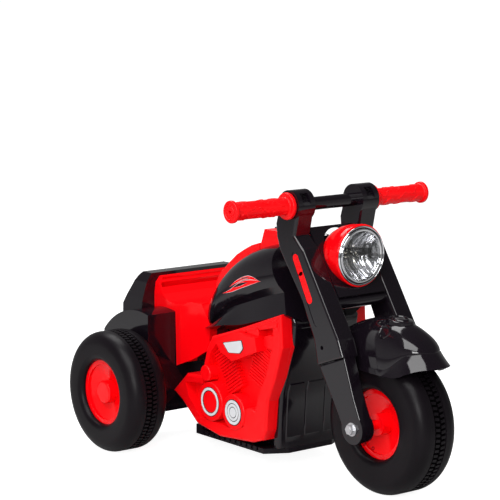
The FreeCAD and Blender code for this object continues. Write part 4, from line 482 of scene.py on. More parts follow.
def tread_bars(mesh, centre, radius, sizes):
    """Two rows of short raised bars, set half a step apart, round the middle of a tyre."""
    bar_share, slant = 0.52, math.radians(9)
    pitch = math.tau / sizes.tread_bars
    thick = radius * pitch * bar_share
    deep = sizes.tread_rise * 2
    for side in (RIGHT_SIDE, LEFT_SIDE):
        across = side * (sizes.tread_gap + sizes.tread_bar) / 2
        for number in range(sizes.tread_bars):
            turn = pitch * (number + (0.5 if side > 0 else 0.0))
            bar = bmesh.ops.create_cube(mesh, size=1.0)["verts"]
            bmesh.ops.scale(mesh, verts=bar, vec=(thick, sizes.tread_bar, deep))
            slanted = Matrix.Rotation(side * slant, 4, "Z")
            lift = Matrix.Translation((0, across, radius - deep / 2))
            spin = Matrix.Rotation(turn, 4, "Y")
            bmesh.ops.transform(mesh, matrix=Matrix.Translation(centre) @ spin @ lift @ slanted, verts=bar)


def make_tyre(node, body, bead, sizes):
    """A hollow tyre with its bars, and a dark ring in the groove under them as painted shade of the groove.
    """
    steps = 128
    corner_room, shade_ring_depth, shade_ring_rise = 0.1 * MM, 0.4 * MM, 0.2 * MM
    low, high = corners_of(node)
    centre = (low + high) / 2
    half = (high.y - low.y) / 2
    radius = (high.z - low.z) / 2 - corner_room
    mesh = spun(tyre_profile(half, radius, bead, sizes), centre, steps)
    tread_bars(mesh, centre, radius, sizes)
    keep(node + "_blown", mesh, body, "tyre_black", (node,))
    # A thin dark ring on the groove floor under the bars: painted shade of the groove.
    band = sizes.tread_bar + sizes.tread_gap / 2
    floor = radius - sizes.tread_rise
    base, top = floor - shade_ring_depth, floor + shade_ring_rise
    ring = [(-band, base), (band, base), (band, top), (-band, top)]
    keep(node + "_groove", spun(ring, centre, steps), body, "tread_dark")


# Grips

GRIP_BARREL = 14.5 * MM


def sweep(mesh, points, radius):
    """Add a round rib along points."""
    curve = bpy.data.curves.new("rib", "CURVE")
    curve.dimensions = "3D"
    curve.bevel_depth = radius
    curve.bevel_resolution = 2
    curve.use_fill_caps = True
    spline = curve.splines.new("POLY")
    spline.points.add(len(points) - 1)
    for spot, point in zip(spline.points, points):
        spot.co = (*point, 1.0)
    guide = bpy.data.objects.new("rib", curve)
    data = bpy.data.meshes.new_from_object(guide)
    mesh.from_mesh(data)
    bpy.data.objects.remove(guide)
    bpy.data.curves.remove(curve)
    bpy.data.meshes.remove(data)


def grip_outline(start, end, guard):
    """Section of a grip from its guard to its flanged end, as (along, radius) points."""
    barrel, flange, bore, hole = GRIP_BARREL, 18.5 * MM, 11.2 * MM, 3 * MM
    guard_width, flange_width, cap = 8 * MM, 7 * MM, 4 * MM
    edge, fillet, rim, groove = 2.5 * MM, 3 * MM, 2 * MM, 0.9 * MM
    outline = [(start, bore), (start, guard - edge)]
    outline += round_corner((start + edge, guard - edge), edge, 180, 90, 4)
    outline += round_corner((start + guard_width - edge, guard - edge), edge, 90, 0, 4)
    outline += round_corner((start + guard_width + fillet, barrel + fillet), fillet, 180, 270, 4)
    outline += round_corner((end - flange_width - fillet, barrel + fillet), fillet, 270, 360, 4)
    outline += round_corner((end - flange_width + rim, flange - rim), rim, 180, 90, 4)
    outline += round_corner((end - rim, flange - rim), rim, 90, 0, 4)
    outline += [(end, 13 * MM), (end - groove, 12.4 * MM), (end - groove, 9.4 * MM), (end, 8.8 * MM)]
    outline += [(end, hole), (end - cap, hole), (end - cap, bore)]
    return outline


def make_grip(node, side, sizes):
    """A flanged grip with rows of waved ribs."""
    low, high = corners_of(node)
    centre = (low + high) / 2
    start, end = (low.y - high.y) / 2, (high.y - low.y) / 2
    outline = [(side * along, across) for along, across in grip_outline(start, end, (high.z - low.z) / 2)]
    mesh = spun(outline, centre, 72)
    rows, waves, steps = 6, 3, 12
    gap, swing, sunk, sunk_ends = 0.04, 0.32, 0.25, 0.6
    first = start + 14 * MM
    last = end - 12 * MM
    span = (last - first) / waves
    for row in range(rows):
        for wave in range(waves):
            points = []
            for step in range(steps + 1):
                share = step / steps
                along = first + span * (wave + gap + (1 - 2 * gap) * share)
                turn = math.tau * (row + swing * math.sin(math.tau * share) + 0.5 * (wave % 2)) / rows
                reach = GRIP_BARREL - sizes.grip_rib * (sunk + sunk_ends * abs(2 * share - 1) ** 4)
                points.append(centre + Vector((reach * math.sin(turn), side * along, reach * math.cos(turn))))
            sweep(mesh, points, sizes.grip_rib)
    keep(node + "_ribbed", mesh, "fork", "red_satin", (node,))


# Rings about the lamp's lens, from the shell inwards: name, slot, finish, CAD nodes and
# outline as (along, radius) points in millimetres from the front of the CAD ring
LAMP_RINGS = (
    ("lamp_shell_lip", "red_plastic", "red_gloss", (), (
        (-7, 48), (-7, 52), (-4.6, 52), (-3.4, 51.4), (-3.0, 50.4), (-3.4, 49.2), (-4, 48),
    )),
    ("lamp_bead", "chrome_plastic", "chrome", ("lamp_ring",), (
        (-6.5, 46.8), (-6.5, 49.6), (-2.2, 49.6), (-0.9, 49.2), (-0.2, 48.3), (-0.6, 47.3), (-1.6, 46.8),
    )),
    ("lamp_seal", "black_plastic", "black_satin", ("lamp_gasket",), (
        (-6.5, 44.6), (-6.5, 46.9), (-3.2, 46.9), (-2.8, 45.8), (-3.2, 44.6),
    )),
    ("lamp_inner_ring", "chrome_plastic", "chrome", (), (
        (-6.5, 42.9), (-6.5, 44.8), (-1.0, 44.8), (-0.2, 44.2), (0.2, 43.0), (-0.4, 41.2), (-1.6, 40.6),
        (-2.4, 42.9),
    )),
)


def make_reflector(sizes):
    """A bright bowl with upright flutes, behind the lens."""
    low, high = corners_of("lamp_reflector")
    centre = front_of("lamp_reflector")
    reach = (high.z - low.z) / 2
    depth = high.x - low.x
    neck, wall, lip, smooth_rim = 7 * MM, 1.2 * MM, 1.5 * MM, 3 * MM
    fluted_share, steps = 0.86, 24
    inner, outer = [], []
    for step in range(steps + 1):
        share = step / steps
        radius = neck + (reach - lip - neck) * share
        inner.append((-depth * (1 - share ** 2) + wall, radius))
        outer.append((-depth * (1 - share ** 2), radius + wall * share))
    outline = outer + [(0, reach), (0, reach - lip)] + inner[::-1][1:]
    mesh = spun(outline, centre, 144, AHEAD)
    for vert in mesh.verts:
        offset = vert.co - centre
        if abs(offset.y) < reach * fluted_share and math.hypot(offset.y, offset.z) < reach - smooth_rim:
            vert.co.x += sizes.flute_depth * math.sin(math.tau * offset.y / sizes.flute_pitch)
    keep("lamp_bowl", mesh, "fork", "fluted_chrome", ("lamp_reflector",), crease=60)


def make_lamp_rings():
    """Red lip of the shell, chrome bead, black seal and inner chrome ring, about the lens."""
    centre = front_of("lamp_ring")
    for name, slot, finish, nodes, outline in LAMP_RINGS:
        mesh = spun(metres(outline), centre, 128, AHEAD)
        keep(name, mesh, "fork", finish, nodes, crease=50)


# Front mudguard: a straight stretch from its tail to its bend, then a nose that is round in plan
GUARD_TAIL = 129 * MM
GUARD_BEND = 238 * MM
GUARD_NOSE = 107 * MM
GUARD_HALF = 48 * MM
NOSE_POWER = 0.667
NOSE_SLOPE = 0.673

# Its crease and rim in millimetres: a level, then rises as (height, start, end) along X
GUARD_CREASE = (214, (24, 276, 322), (8, 300, 342))
GUARD_RIM = (206, (19, 300, 346))

# Its crown: the arc about the axle, where the fall to the nose starts and ends, and the nose's level
CROWN_RADIUS = 172 * MM
CROWN_TURN = 262 * MM
CROWN_END = 345 * MM
NOSE_LEVEL = 246 * MM
NOSE_RISE = 42.5 * MM
NOSE_ROUND = 0.86

# Its lugs, crest and dishes: places in metres, outlines as (along, radius) points in millimetres
LUG_SPOT = (183.7 * MM, 48.5 * MM, 236 * MM)
CREST_X = 268 * MM
CREST_LEAN = (0.12, 0, 1)
CREST_STRETCH = (1.15, 0.9, 1)
CREST_OUTLINE = (
    (2.6, 0), (2.6, 9.8), (3.3, 10.4), (4.2, 11.2), (4.3, 12.0), (3.8, 13.4), (1.6, 15), (1.2, 20),
    (0.4, 21.5), (-6, 23), (-6, 0),
)
DISH_SPOT = (264 * MM, 31 * MM)
DISH_OUTLINE = (
    (-0.9, 0), (-0.8, 7), (0.2, 9.4), (1.3, 10.4), (1.2, 11.6), (-3, 14), (-4, 14), (-4, 0),
)


def eased(value, low, high):
    """0 below low and 1 above high, with a smooth rise between them."""
    share = min(max((value - low) / (high - low), 0.0), 1.0)
    return share * share * (3 - 2 * share)


def risen(levels, x):
    """Height of a crease or rim at a place along the guard, in metres."""
    height = levels[0] * MM
    for rise, start, end in levels[1:]:
        height += rise * MM * eased(x, start * MM, end * MM)
    return height


def crown_height(x, axle):
    """Top of the mudguard: an arc about the axle, then a fall to the nose."""
    if x < CROWN_TURN:
        return axle.z + math.sqrt(CROWN_RADIUS ** 2 - (x - axle.x) ** 2)
    share = min((x - CROWN_TURN) / (CROWN_END - CROWN_TURN), 1.0)
    return NOSE_LEVEL + NOSE_RISE * (1 - share ** 2) ** NOSE_ROUND


def guard_sheet(axle):
    """A domed sheet with a round nose and a brim that steps up and flares ahead."""
    straight, bend, dome, brim = 14, 32, 16, 5
    tail_rise, tail_rise_start, tail_rise_reach = 14 * MM, 250 * MM, 126 * MM
    step_out, side_flare, nose_flare, step_down = 1.2 * MM, 1.8 * MM, 17 * MM, 0.5 * MM
    facing_power, flare_power, brim_power, tail_full, nose_full = 1.333, 0.6, 1.1, 0.94, 0.04
    length = straight + bend
    across = dome + 1 + brim
    mesh = bmesh.new()
    grid = bmesh.ops.create_grid(mesh, x_segments=length, y_segments=across * 2, size=0.5)["verts"]
    for vert in grid:
        along = round((vert.co.x + 0.5) * length)
        aside = round((vert.co.y + 0.5) * across * 2) - across
        side = -1 if aside < 0 else 1
        step = abs(aside)
        nose = QUARTER * max(along - straight, 0) / bend
        x = GUARD_TAIL + (GUARD_BEND - GUARD_TAIL) * min(along / straight, 1.0)
        x += GUARD_NOSE * math.sin(nose) ** NOSE_POWER
        wide = GUARD_HALF * math.cos(nose)
        facing = math.atan2(NOSE_SLOPE * math.sin(nose) ** facing_power, max(math.cos(nose), 0.0))
        back = tail_rise * max((tail_rise_start - x) / tail_rise_reach, 0.0) ** 2
        crease = risen(GUARD_CREASE, x) + back
        rim = risen(GUARD_RIM, x) + back
        if step <= dome:
            turn = QUARTER * step / dome
            full = tail_full + nose_full * math.sin(nose)
            y = wide * math.sin(turn) ** full
            z = crease + (crown_height(x, axle) - crease) * max(math.cos(turn), 0.0) ** full
        else:
            share = (step - dome - 1) / brim
            flare = side_flare + nose_flare * math.sin(facing) ** flare_power
            flare = step_out + flare * share ** brim_power
            x += flare * math.sin(facing)
            y = wide + flare * math.cos(facing)
            z = crease - step_down + (rim - crease) * share
        vert.co = (x, axle.y + side * y, z)
    bmesh.ops.remove_doubles(mesh, verts=mesh.verts, dist=CLOSE)
    bmesh.ops.recalc_face_normals(mesh, faces=mesh.faces)
    return mesh


def make_mudguard(sizes):
    """The guard's sheet with its wall and a lug on each side, a cap on its crown and two dishes."""
    low, high = corners_of("front_axle")
    axle = (low + high) / 2
    lug_radius, lug_depth = 9 * MM, 6.5 * MM
    mesh = guard_sheet(axle)
    bmesh.ops.solidify(mesh, geom=mesh.faces[:], thickness=sizes.guard_wall)
    for side, _ in SIDES:
        lug = bmesh.ops.create_cone(
            mesh, cap_ends=True, segments=32, radius1=lug_radius, radius2=lug_radius, depth=lug_depth,
        )["verts"]
        lift = Matrix.Translation((LUG_SPOT[0], side * LUG_SPOT[1], LUG_SPOT[2]))
        bmesh.ops.transform(mesh, matrix=lift @ Matrix.Rotation(QUARTER, 4, "X"), verts=lug)
    dome = BVHTree.FromBMesh(mesh)
    keep("front_mudguard_domed", mesh, "fork", "black_gloss", ("front_mudguard",), crease=28)
    crest = Vector((CREST_X, 0, crown_height(CREST_X, axle)))
    cap = turned(CREST_OUTLINE, crest, Vector(CREST_LEAN).normalized(), 64)
    bmesh.ops.scale(cap, vec=CREST_STRETCH, space=Matrix.Translation(-crest), verts=cap.verts)
    keep("front_mudguard_crest", cap, "fork", "black_gloss", crease=40)
    for side, name in SIDES:
        spot, lean, _, _ = dome.ray_cast(Vector((DISH_SPOT[0], side * DISH_SPOT[1], ABOVE)), -UP)
        dish = turned(DISH_OUTLINE, spot, lean, 48)
        keep("front_mudguard_dish_" + name, dish, "fork", "black_gloss", crease=50)


# Red band in the sunk panel of a fork leg, in millimetres: its ends in (x, z), the panel's face
# from the middle, and the parts of the band as shares of its length
BAND_TOP = (107.2, 380.9)
BAND_FOOT = (163.0, 279.1)
BAND_FACE = 87.2
BAND_PARTS = ((0.03, 0.24), (0.3, 0.66))


def stadium(start, end, half, steps=10):
    """Outline of a round-ended bar from one (x, z) point to another."""
    start, end = Vector(start), Vector(end)
    course = (end - start).normalized()
    aside = Vector((-course.y, course.x))
    outline = []
    for spot, sign in ((start, -1), (end, 1)):
        for step in range(steps + 1):
            turn = math.pi * step / steps
            outline.append(spot + (aside * math.cos(turn) * -sign + course * math.sin(turn) * sign) * half)
    return outline


def make_fork_band(side, name, sizes):
    """A red band in two parts, with a gap between them."""
    top, foot = Vector(BAND_TOP) * MM, Vector(BAND_FOOT) * MM
    face = side * BAND_FACE * MM
    sunk, rise = side * 0.2 * MM, side * 0.35 * MM
    for part, (first, last) in enumerate(BAND_PARTS, 1):
        outline = stadium(top.lerp(foot, first), top.lerp(foot, last), sizes.band_half)
        mesh = slab(outline, face - sunk, face + rise)
        keep("_".join(("fork_band", name, str(part))), mesh, "fork", "red_gloss")


# Trims of an engine cover, in millimetres: corners or middle in (x, z), and the faces they lie on
ENGINE_BADGE = ((-66.6, 211.9), (-13.6, 224.1), (-8.4, 210.0), (-17.5, 199.9), (-50.5, 196.1))
BADGE_FACE = 103.0
BADGE_ROUND = 2.6
ENGINE_RING = (-110.6, 99.1)
ENGINE_DISC = (-45.6, 91.9)
COVER_FACE = 97.0

# Blocks on an engine cover, in millimetres: their foot and face from the middle, then their corners in (x, z)
ENGINE_BLOCKS = (
    (73, 96, ((-9, 244), (15, 249), (22, 244), (21, 233), (-9, 229))),
    (73, 91, ((32, 236), (49, 241), (59, 236), (59, 216), (36, 215), (30, 224))),
    (94, 97, ((15, 250.5), (68, 269), (73, 265), (70, 257), (27, 246))),
)


def ring_outline(inner, outer, top, sunk=0.3, edge=0.4):
    """Section of a flat ring, or of a disc where the inner radius is 0, in millimetres."""
    outline = [(-sunk, inner), (-sunk, outer), (top - sunk, outer), (top, outer - edge)]
    return outline + ([(top, inner + edge), (top - sunk, inner)] if inner else [(top, 0.0)])


def make_engine_trims(side, name, sizes, nodes):
    """A bare badge, a ring and a ringed disc on an engine cover, each on a dark backing."""
    rise = sizes.trim_rise / MM
    middle = sum((Vector(point) for point in ENGINE_BADGE), Vector((0, 0))) / len(ENGINE_BADGE)
    for part, scale, top, look in (("edge", 1.0, 0.5, "black_satin"), ("plate", 0.92, rise, "silver_paint")):
        corners = [middle + (Vector(point) - middle) * scale for point in ENGINE_BADGE]
        outline = [tuple(point * MM) for point in rounded(corners, BADGE_ROUND)]
        mesh = slab(outline, side * BADGE_FACE * MM, side * (BADGE_FACE + top) * MM)
        keep("_".join(("badge", part, name)), mesh, "chassis", look, nodes)
        nodes = ()
    for part, spot, spans in (
        ("ring", ENGINE_RING, ((18.8, 26.0, 0.5), (20.2, 24.8, rise))),
        ("disc", ENGINE_DISC, ((0.0, 23.0, 0.4), (16.2, 21.4, rise), (10.0, 14.8, rise), (0.0, 8.6, rise))),
    ):
        centre = Vector((spot[0], side * COVER_FACE, spot[1])) * MM
        for number, span in enumerate(spans):
            outline = [(side * along, across) for along, across in metres(ring_outline(*span))]
            look = "silver_paint" if number else "black_satin"
            mesh = spun(outline, centre, 72)
            keep("_".join(("engine", part, name, str(number))), mesh, "chassis", look)


def make_engine_blocks(side, name, sizes):
    """Bevelled blocks of the inlet and of the front cylinder head."""
    bevel = sizes.trim_rise * 1.4
    for number, (foot, face, corners) in enumerate(ENGINE_BLOCKS, 1):
        mesh = slab(metres(corners), side * foot * MM, side * face * MM)
        outer = [
            edge for edge in mesh.edges
            if all(abs(abs(vert.co.y) - face * MM) < CLOSE for vert in edge.verts)
        ]
        bmesh.ops.bevel(
            mesh, geom=outer, offset=bevel, segments=4, profile=0.5, affect="EDGES", material=-1,
        )
        keep("_".join(("engine_block", name, str(number))), mesh, "chassis", "red_satin")


# Front of the body, in millimetres: its face as (level, x), the levels of its rows and the places of
# its columns from the middle. Raised panels fill what lies between the lowest and highest panel level
# and in one of the panel spans.
SHIELD_LINE = (
    (42, 49), (60, 50.5), (99, 52.5), (140, 56), (170, 67.5), (200, 77.5), (226, 86), (252, 89), (264, 90.5),
    (276, 83),
)
SHIELD_LEVELS = (
    42, 50, 58, 60.5, 78, 99, 120, 138, 152, 154.5, 160, 170, 185, 200, 213, 226, 240, 252, 264, 276,
)
SHIELD_COLUMNS = (0, 8, 16, 17.2, 21, 25, 26.2, 40, 57, 58.2, 63)
PANEL_LEVELS = (60, 153)
PANEL_SPANS = ((0, 16), (26, 57.5))
PANEL_RISE = 2.2


def shield_face(level):
    """How far ahead the body's front face lies at a level, in millimetres."""
    ahead = 0.0
    for (low, near), (high, far) in zip(SHIELD_LINE, SHIELD_LINE[1:]):
        if low <= level <= high:
            ahead = near + (far - near) * (level - low) / (high - low)
    return ahead


def make_shield(sizes):
    """The wide front of the body, with raised upright panels and round corners."""
    half = sizes.shield_half / MM
    edge, side_depth, steps = 6.0, 13.0, 6
    columns = [(y, 0.0) for y in SHIELD_COLUMNS]
    for step in range(steps + 1):
        turn = QUARTER * step / steps
        columns.append((half - edge + edge * math.sin(turn), edge * (1 - math.cos(turn))))
    columns.append((half, side_depth))
    columns = [(-y, back) for y, back in reversed(columns[1:])] + columns
    wide, tall = len(columns) - 1, len(SHIELD_LEVELS) - 1
    mesh = bmesh.new()
    grid = bmesh.ops.create_grid(mesh, x_segments=wide, y_segments=tall, size=0.5)["verts"]
    for vert in grid:
        y, back = columns[round((vert.co.x + 0.5) * wide)]
        level = SHIELD_LEVELS[round((vert.co.y + 0.5) * tall)]
        panel = PANEL_LEVELS[0] <= level <= PANEL_LEVELS[1] and any(
            near <= abs(y) <= far for near, far in PANEL_SPANS
        )
        vert.co = Vector((shield_face(level) - back - (0.0 if panel else PANEL_RISE), y, level)) * MM
    bmesh.ops.recalc_face_normals(mesh, faces=mesh.faces)
    bmesh.ops.solidify(mesh, geom=mesh.faces[:], thickness=2 * MM)
    keep("body_front_shield", mesh, "chassis", "black_gloss", crease=40)


# Screw holes of the front rim, in millimetres: places in (x, z) and the section as (along, radius)
RIM_HOLES = ((215.5, 78.0), (231.0, 72.5))
RIM_HOLE_OUTLINE = ((0.5, 3.1), (0.7, 2.6), (0.5, 2.1), (-1.0, 1.9), (-1.0, 0), (-2.0, 0), (-2.0, 3.1))


def make_rim_holes():
    """Two small screw holes near the edge of the front rim, on both sides, black inside as painted shade of
    their depth.
    """
    skin = skin_of("front_rim")
    for side, name in SIDES:
        for number, (x, z) in enumerate(RIM_HOLES, 1):
            mesh = turned(RIM_HOLE_OUTLINE, *struck(skin, side, x * MM, z * MM), 24)
            piece = "_".join(("rim_screw_hole", name, str(number)))
            # Black cup in each hole: painted shade inside the hole.
            keep(piece, mesh, "front_wheel", "black_satin")


# Flame streaks on the tank, seen from the side: points along each and its widths there, in millimetres.
# The first row is the streak, and the rows after it are cut out of it.
STREAKS = (
    (
        (((-93, 291), (-70, 299), (-46, 311), (-18, 320), (11, 326)), (0, 4.5, 10, 8, 0)),
        (((-66, 304.5), (-46, 312.5), (-22, 320)), (0, 5.4, 0)),
    ),
    (
        (((-74, 305), (-56, 316), (-32, 326), (-14, 328), (6, 326)), (0, 3.5, 5, 4.5, 0)),
        (((-55, 317), (-34, 325.5), (-15, 327.8)), (0, 2.6, 0)),
    ),
)


def tongue(spine, widths):
    """Outline of a tapered streak about a smooth line through its points."""
    narrowest = 0.05 * MM
    line = smooth_line([Vector(point) * MM for point in spine])
    broad = smooth_line([Vector((width, 0)) * MM for width in widths])
    left, right = [], []
    for number, spot in enumerate(line):
        before = line[max(number - 1, 0)]
        after = line[min(number + 1, len(line) - 1)]
        course = (after - before).normalized()
        aside = Vector((-course.y, course.x)) * max(broad[number].x, narrowest) / 2
        left.append(spot + aside)
        right.append(spot - aside)
    return [tuple(spot) for spot in left + right[::-1]]


def make_streaks(side, name, edge):
    """Red streaks on one cheek of the tank, over a pale layer that shows as their edge."""
    skin = skin_of("body_" + name)
    cut_share = 0.6
    for layer, extra, lift, finish, slot in (
        ("edge", edge, 0.12 * MM, "silver_paint", "silver_trim"),
        ("fill", 0.0, 0.3 * MM, "red_gloss", "red_plastic"),
    ):
        for number, streak in enumerate(STREAKS, 1):
            outlines = []
            for row, (spine, widths) in enumerate(streak):
                grown = extra if row == 0 else -extra * cut_share
                outlines.append(tongue(spine, [width + grown * min(width, 1) for width in widths]))
            mesh = film(outlines, skin, side, lift)
            keep("_".join(("tank_streak", name, layer, str(number))), mesh, "chassis", finish)


# Plastics: colour setting and gain on it, gloss, scale and depth of the grain, spread of the gloss and shine
PLASTICS = {
    "black_gloss": ("black", 1.0, 0.09, 60.0, 0.02 * MM, 0.06, 0.5),
    "black_satin": ("black", 1.1, 0.3, 900.0, 0.04 * MM, 0.12, 0.18),
    "red_gloss": ("red", 1.0, 0.12, 60.0, 0.02 * MM, 0.08, 0.22),
    "red_satin": ("red", 1.0, 0.34, 800.0, 0.04 * MM, 0.12, 0.2),
    # Tyre colour darkened for the ring in the tyre's groove: painted shade.
    "tread_dark": ("tyre", 0.2, 0.8, 400.0, 0.04 * MM, 0.1, 0.02),
    "pale_plastic": ("pale", 1.0, 0.4, 500.0, 0.03 * MM, 0.12, 0.35),
    "silver_paint": ("silver", 1.0, 0.3, 900.0, 0.03 * MM, 0.1, 0.35),
    "battery_case": ("battery", 1.0, 0.5, 700.0, 0.06 * MM, 0.15, 0.35),
    "button_plastic": ("button", 1.0, 0.3, 500.0, 0.03 * MM, 0.1, 0.35),
}

# Finishes of the record's slots, and of the CAD nodes that look otherwise
SLOT_FINISHES = {
    "black_plastic": "black_gloss",
    "red_plastic": "red_gloss",
    "tyre_plastic": "tyre_black",
    "black_tube": "black_gloss",
    "chrome_plastic": "chrome",
    "clear_lens": "clear_plastic",
    "lamp_glass": "bulb_glass",
    "steel": "steel",
    "silver_trim": "silver_paint",
    "pale_plastic": "pale_plastic",
    "button_plastic": "button_plastic",
    "battery_plastic": "battery_case",
}
NODE_FINISHES = {
    "under_tray": "black_satin",
    "engine_cover_right": "red_satin",
    "engine_cover_left": "red_satin",
    "lamp_gasket": "black_satin",
    "speaker": "black_satin",
    "gearbox_case": "black_satin",
    "front_axle_spacers": "red_gloss",
    "front_wheel_bushes": "red_gloss",
}


# Operators

class MakeFinishes(bpy.types.Operator):
    """Make the materials and put them on the CAD nodes that stay in view"""

    bl_idname = "rideon.finishes"
    bl_label = "Finishes"

    def execute(self, context):
        colours = context.scene.rideon_colours
        for name, (setting, gain, *values) in PLASTICS.items():
            plastic(name, shaded(getattr(colours, setting), gain), *values)
        plated("chrome", tuple(colours.chrome), gloss=0.06)
        plated("steel", tuple(colours.steel), gloss=0.25, marks_depth=0.03 * MM)
        fluted_mirror("fluted_chrome", tuple(colours.chrome))
        clear_moulding("clear_plastic", tuple(colours.clear))
        clear_moulding("bulb_glass", tuple(colours.bulb))
        tyre_skin("tyre_black", tuple(colours.tyre))
        slot_of = {part["node"]: part["material_slot"] for part in frame["record"]["subparts"]}
        for name, node in frame["nodes"].items():
            finish = bpy.data.materials[NODE_FINISHES.get(name) or SLOT_FINISHES[slot_of[name]]]
            for material_slot in node.material_slots:
                material_slot.material = finish
        return {"FINISHED"}


class MakeTyres(bpy.types.Operator):
    """Blown tyres with two rows of short tread bars"""

    bl_idname = "rideon.tyres"
    bl_label = "Tyres"

    def execute(self, context):
        for node, body, bead in TYRES:
            make_tyre(node, body, bead * MM, context.scene.rideon_sizes)
        return {"FINISHED"}


class MakeGrips(bpy.types.Operator):
    """Flanged grips with waved ribs"""

    bl_idname = "rideon.grips"
    bl_label = "Grips"

    def execute(self, context):
        for side, name in SIDES:
            make_grip("grip_" + name, side, context.scene.rideon_sizes)
        return {"FINISHED"}


class MakeLamp(bpy.types.Operator):
    """Fluted bowl of the headlamp and the rings about its lens"""

    bl_idname = "rideon.lamp"
    bl_label = "Headlamp"

    def execute(self, context):
        make_reflector(context.scene.rideon_sizes)
        make_lamp_rings()
        return {"FINISHED"}


class MakeMudguard(bpy.types.Operator):
    """Front mudguard with its brim, lugs, crest and dishes"""

    bl_idname = "rideon.mudguard"
    bl_label = "Mudguard"

    def execute(self, context):
        make_mudguard(context.scene.rideon_sizes)
        return {"FINISHED"}


class MakeForkBands(bpy.types.Operator):
    """Red bands in the sunk panels of the fork legs"""

    bl_idname = "rideon.fork_bands"
    bl_label = "Fork bands"

    def execute(self, context):
        for side, name in SIDES:
            make_fork_band(side, name, context.scene.rideon_sizes)
        return {"FINISHED"}


class MakeEngineTrims(bpy.types.Operator):
    """Bare badges, rings, discs and small blocks on the engine covers"""

    bl_idname = "rideon.engine_trims"
    bl_label = "Engine trims"

    def execute(self, context):
        sizes = context.scene.rideon_sizes
        for side, name in SIDES:
            make_engine_trims(side, name, sizes, ("engine_trims",) if side == RIGHT_SIDE else ())
        for side, name in SIDES:
            make_engine_blocks(side, name, sizes)
        return {"FINISHED"}


class MakeShield(bpy.types.Operator):
    """Wide front of the body between the engine covers"""

    bl_idname = "rideon.shield"
    bl_label = "Body front"

    def execute(self, context):
        make_shield(context.scene.rideon_sizes)
        return {"FINISHED"}


class MakeRimHoles(bpy.types.Operator):
    """Screw holes of the front rim"""

    bl_idname = "rideon.rim_holes"
    bl_label = "Rim screw holes"

    def execute(self, context):
        make_rim_holes()
        return {"FINISHED"}


class MakeTankStreaks(bpy.types.Operator):
    """Red streaks with a pale edge on both cheeks of the tank"""

    bl_idname = "rideon.tank_streaks"
    bl_label = "Tank streaks"

    def execute(self, context):
        for side, name in SIDES:
            make_streaks(side, name, context.scene.rideon_sizes.streak_edge / MM)
        return {"FINISHED"}


# Soft lamps: name, place and target in metres, width, height and watts
LAMPS = (
    ("key_lamp", (0.6, -1.4, 2.3), (0.05, 0, 0.25), 2.3, 1.7, 66),
    ("top_lamp", (-1.3, 0.05, 2.3), (0, 0, 0.3), 1.5, 1.3, 34),
    ("fill_lamp", (2.2, -2.5, 1.3), (0, 0, 0.25), 1.3, 0.9, 50),
)
CAMERA_SPOT = (2.5892, -2.1523, 0.8871)
CAMERA_YAW = math.radians(51.545)
CAMERA_PITCH = math.radians(8.736)
CAMERA_LENS = 143.84
CAMERA_SENSOR = 36.0
FLOOR_RADIUS = 60.0


def looking(place, back):
    """A placement at a point whose local Z points back, away from what it looks at."""
    back = back.normalized()
    right = UP.cross(back).normalized()
    up = back.cross(right)
    turn = Matrix((right, up, back)).transposed().to_4x4()
    return Matrix.Translation(place) @ turn


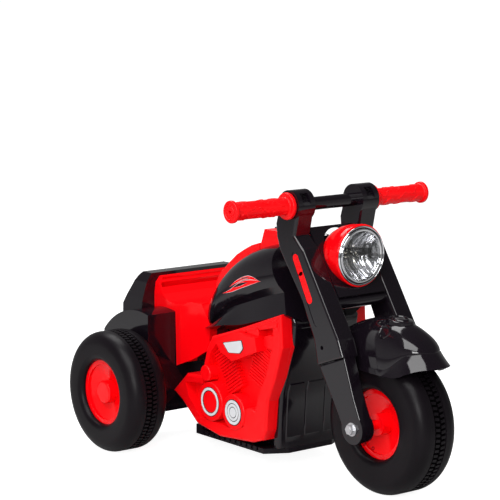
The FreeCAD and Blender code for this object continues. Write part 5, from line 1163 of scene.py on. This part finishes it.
class MakeStage(bpy.types.Operator):
    """White floor, soft lamps, pale surroundings and the camera"""

    bl_idname = "rideon.stage"
    bl_label = "Stage"

    def execute(self, context):
        scene = context.scene
        scene.view_settings.view_transform = "Standard"
        self.floor()
        self.surroundings(scene)
        for name, place, target, width, height, power in LAMPS:
            lamp = bpy.data.lights.new(name, "AREA")
            lamp.shape = "RECTANGLE"
            lamp.size = width
            lamp.size_y = height
            lamp.energy = power
            self.place(name, lamp, Vector(place), Vector(place) - Vector(target))
        camera = bpy.data.cameras.new("camera")
        camera.lens = CAMERA_LENS
        camera.sensor_width = CAMERA_SENSOR
        level = math.cos(CAMERA_PITCH)
        back = Vector((math.sin(CAMERA_YAW) * level, -math.cos(CAMERA_YAW) * level, math.sin(CAMERA_PITCH)))
        scene.camera = self.place("camera", camera, Vector(CAMERA_SPOT), back)
        return {"FINISHED"}

    def place(self, name, data, spot, back):
        """Put a lamp or camera at a spot, looking away from back."""
        holder = bpy.data.objects.new(name, data)
        holder.matrix_world = looking(spot, back)
        bpy.context.collection.objects.link(holder)
        return holder

    def floor(self):
        """A pale floor that the camera sees white but for the object's shadow."""
        mesh = bmesh.new()
        bmesh.ops.create_circle(mesh, cap_ends=True, segments=96, radius=FLOOR_RADIUS)
        data = bpy.data.meshes.new("floor")
        mesh.to_mesh(data)
        mesh.free()
        finish = Finish("floor_white")
        grain = finish.noise(3.0, 2.0)
        finish.set(
            Base_Color=finish.blend(grain, (0.50, 0.50, 0.50), (0.53, 0.53, 0.53)), Roughness=0.9,
            Specular_IOR_Level=0.1, Emission_Strength=0.9,
            Emission_Color=finish.blend(finish.ray("Is Camera Ray"), (0, 0, 0), (1, 1, 1)),
        )
        data.materials.append(finish.material)
        floor = bpy.data.objects.new("floor", data)
        bpy.context.collection.objects.link(floor)

    def surroundings(self, scene):
        """White for the camera and through clear plastic, dimmer elsewhere, overhead and in reflections."""
        world = bpy.data.worlds.new("studio")
        world.use_nodes = True
        scene.world = world
        finish = Finish("studio", world.node_tree)
        plain, overhead_loss, mirror_loss = 0.78, 0.75, 0.65
        camera, glossy = finish.ray("Is Camera Ray"), finish.ray("Is Glossy Ray")
        seen = (camera + glossy + finish.ray("Is Transmission Ray")).clipped()
        level = finish.axis(finish.coordinates("Generated"), "Z")
        overhead = level.ramp(0.12, 0.55) * (1 - camera)
        strength = (plain + seen * (1 - plain)) * (1 - overhead * overhead_loss) * (1 - glossy * mirror_loss)
        background = finish.tree.nodes["Background"]
        background.inputs["Color"].default_value = (1, 1, 1, 1)
        finish.feed(background.inputs["Strength"], strength)


class RideOnPanel(bpy.types.Panel):
    """Sizes, colours and making of the ride-on motorcycle"""

    bl_idname = "VIEW3D_PT_rideon"
    bl_label = "Ride-on motorcycle"
    bl_space_type = "VIEW_3D"
    bl_region_type = "UI"
    bl_category = "Ride-on"

    def draw(self, context):
        for group in (context.scene.rideon_sizes, context.scene.rideon_colours):
            for name in group.__annotations__:
                self.layout.prop(group, name)
        for maker in MAKERS:
            self.layout.operator(maker.bl_idname)


MAKERS = (
    MakeStage, MakeFinishes, MakeTyres, MakeGrips, MakeLamp, MakeMudguard, MakeForkBands, MakeEngineTrims,
    MakeShield, MakeRimHoles, MakeTankStreaks,
)
CLASSES = (RideOnColours, RideOnSizes, *MAKERS, RideOnPanel)


def register():
    for item in CLASSES:
        bpy.utils.register_class(item)
    bpy.types.Scene.rideon_colours = PointerProperty(type=RideOnColours)
    bpy.types.Scene.rideon_sizes = PointerProperty(type=RideOnSizes)


def unregister():
    del bpy.types.Scene.rideon_sizes
    del bpy.types.Scene.rideon_colours
    for item in reversed(CLASSES):
        bpy.utils.unregister_class(item)


def main():
    register()
    for maker in MAKERS:
        group, name = maker.bl_idname.split(".")
        getattr(getattr(bpy.ops, group), name)()


if __name__ == "__main__":
    main()
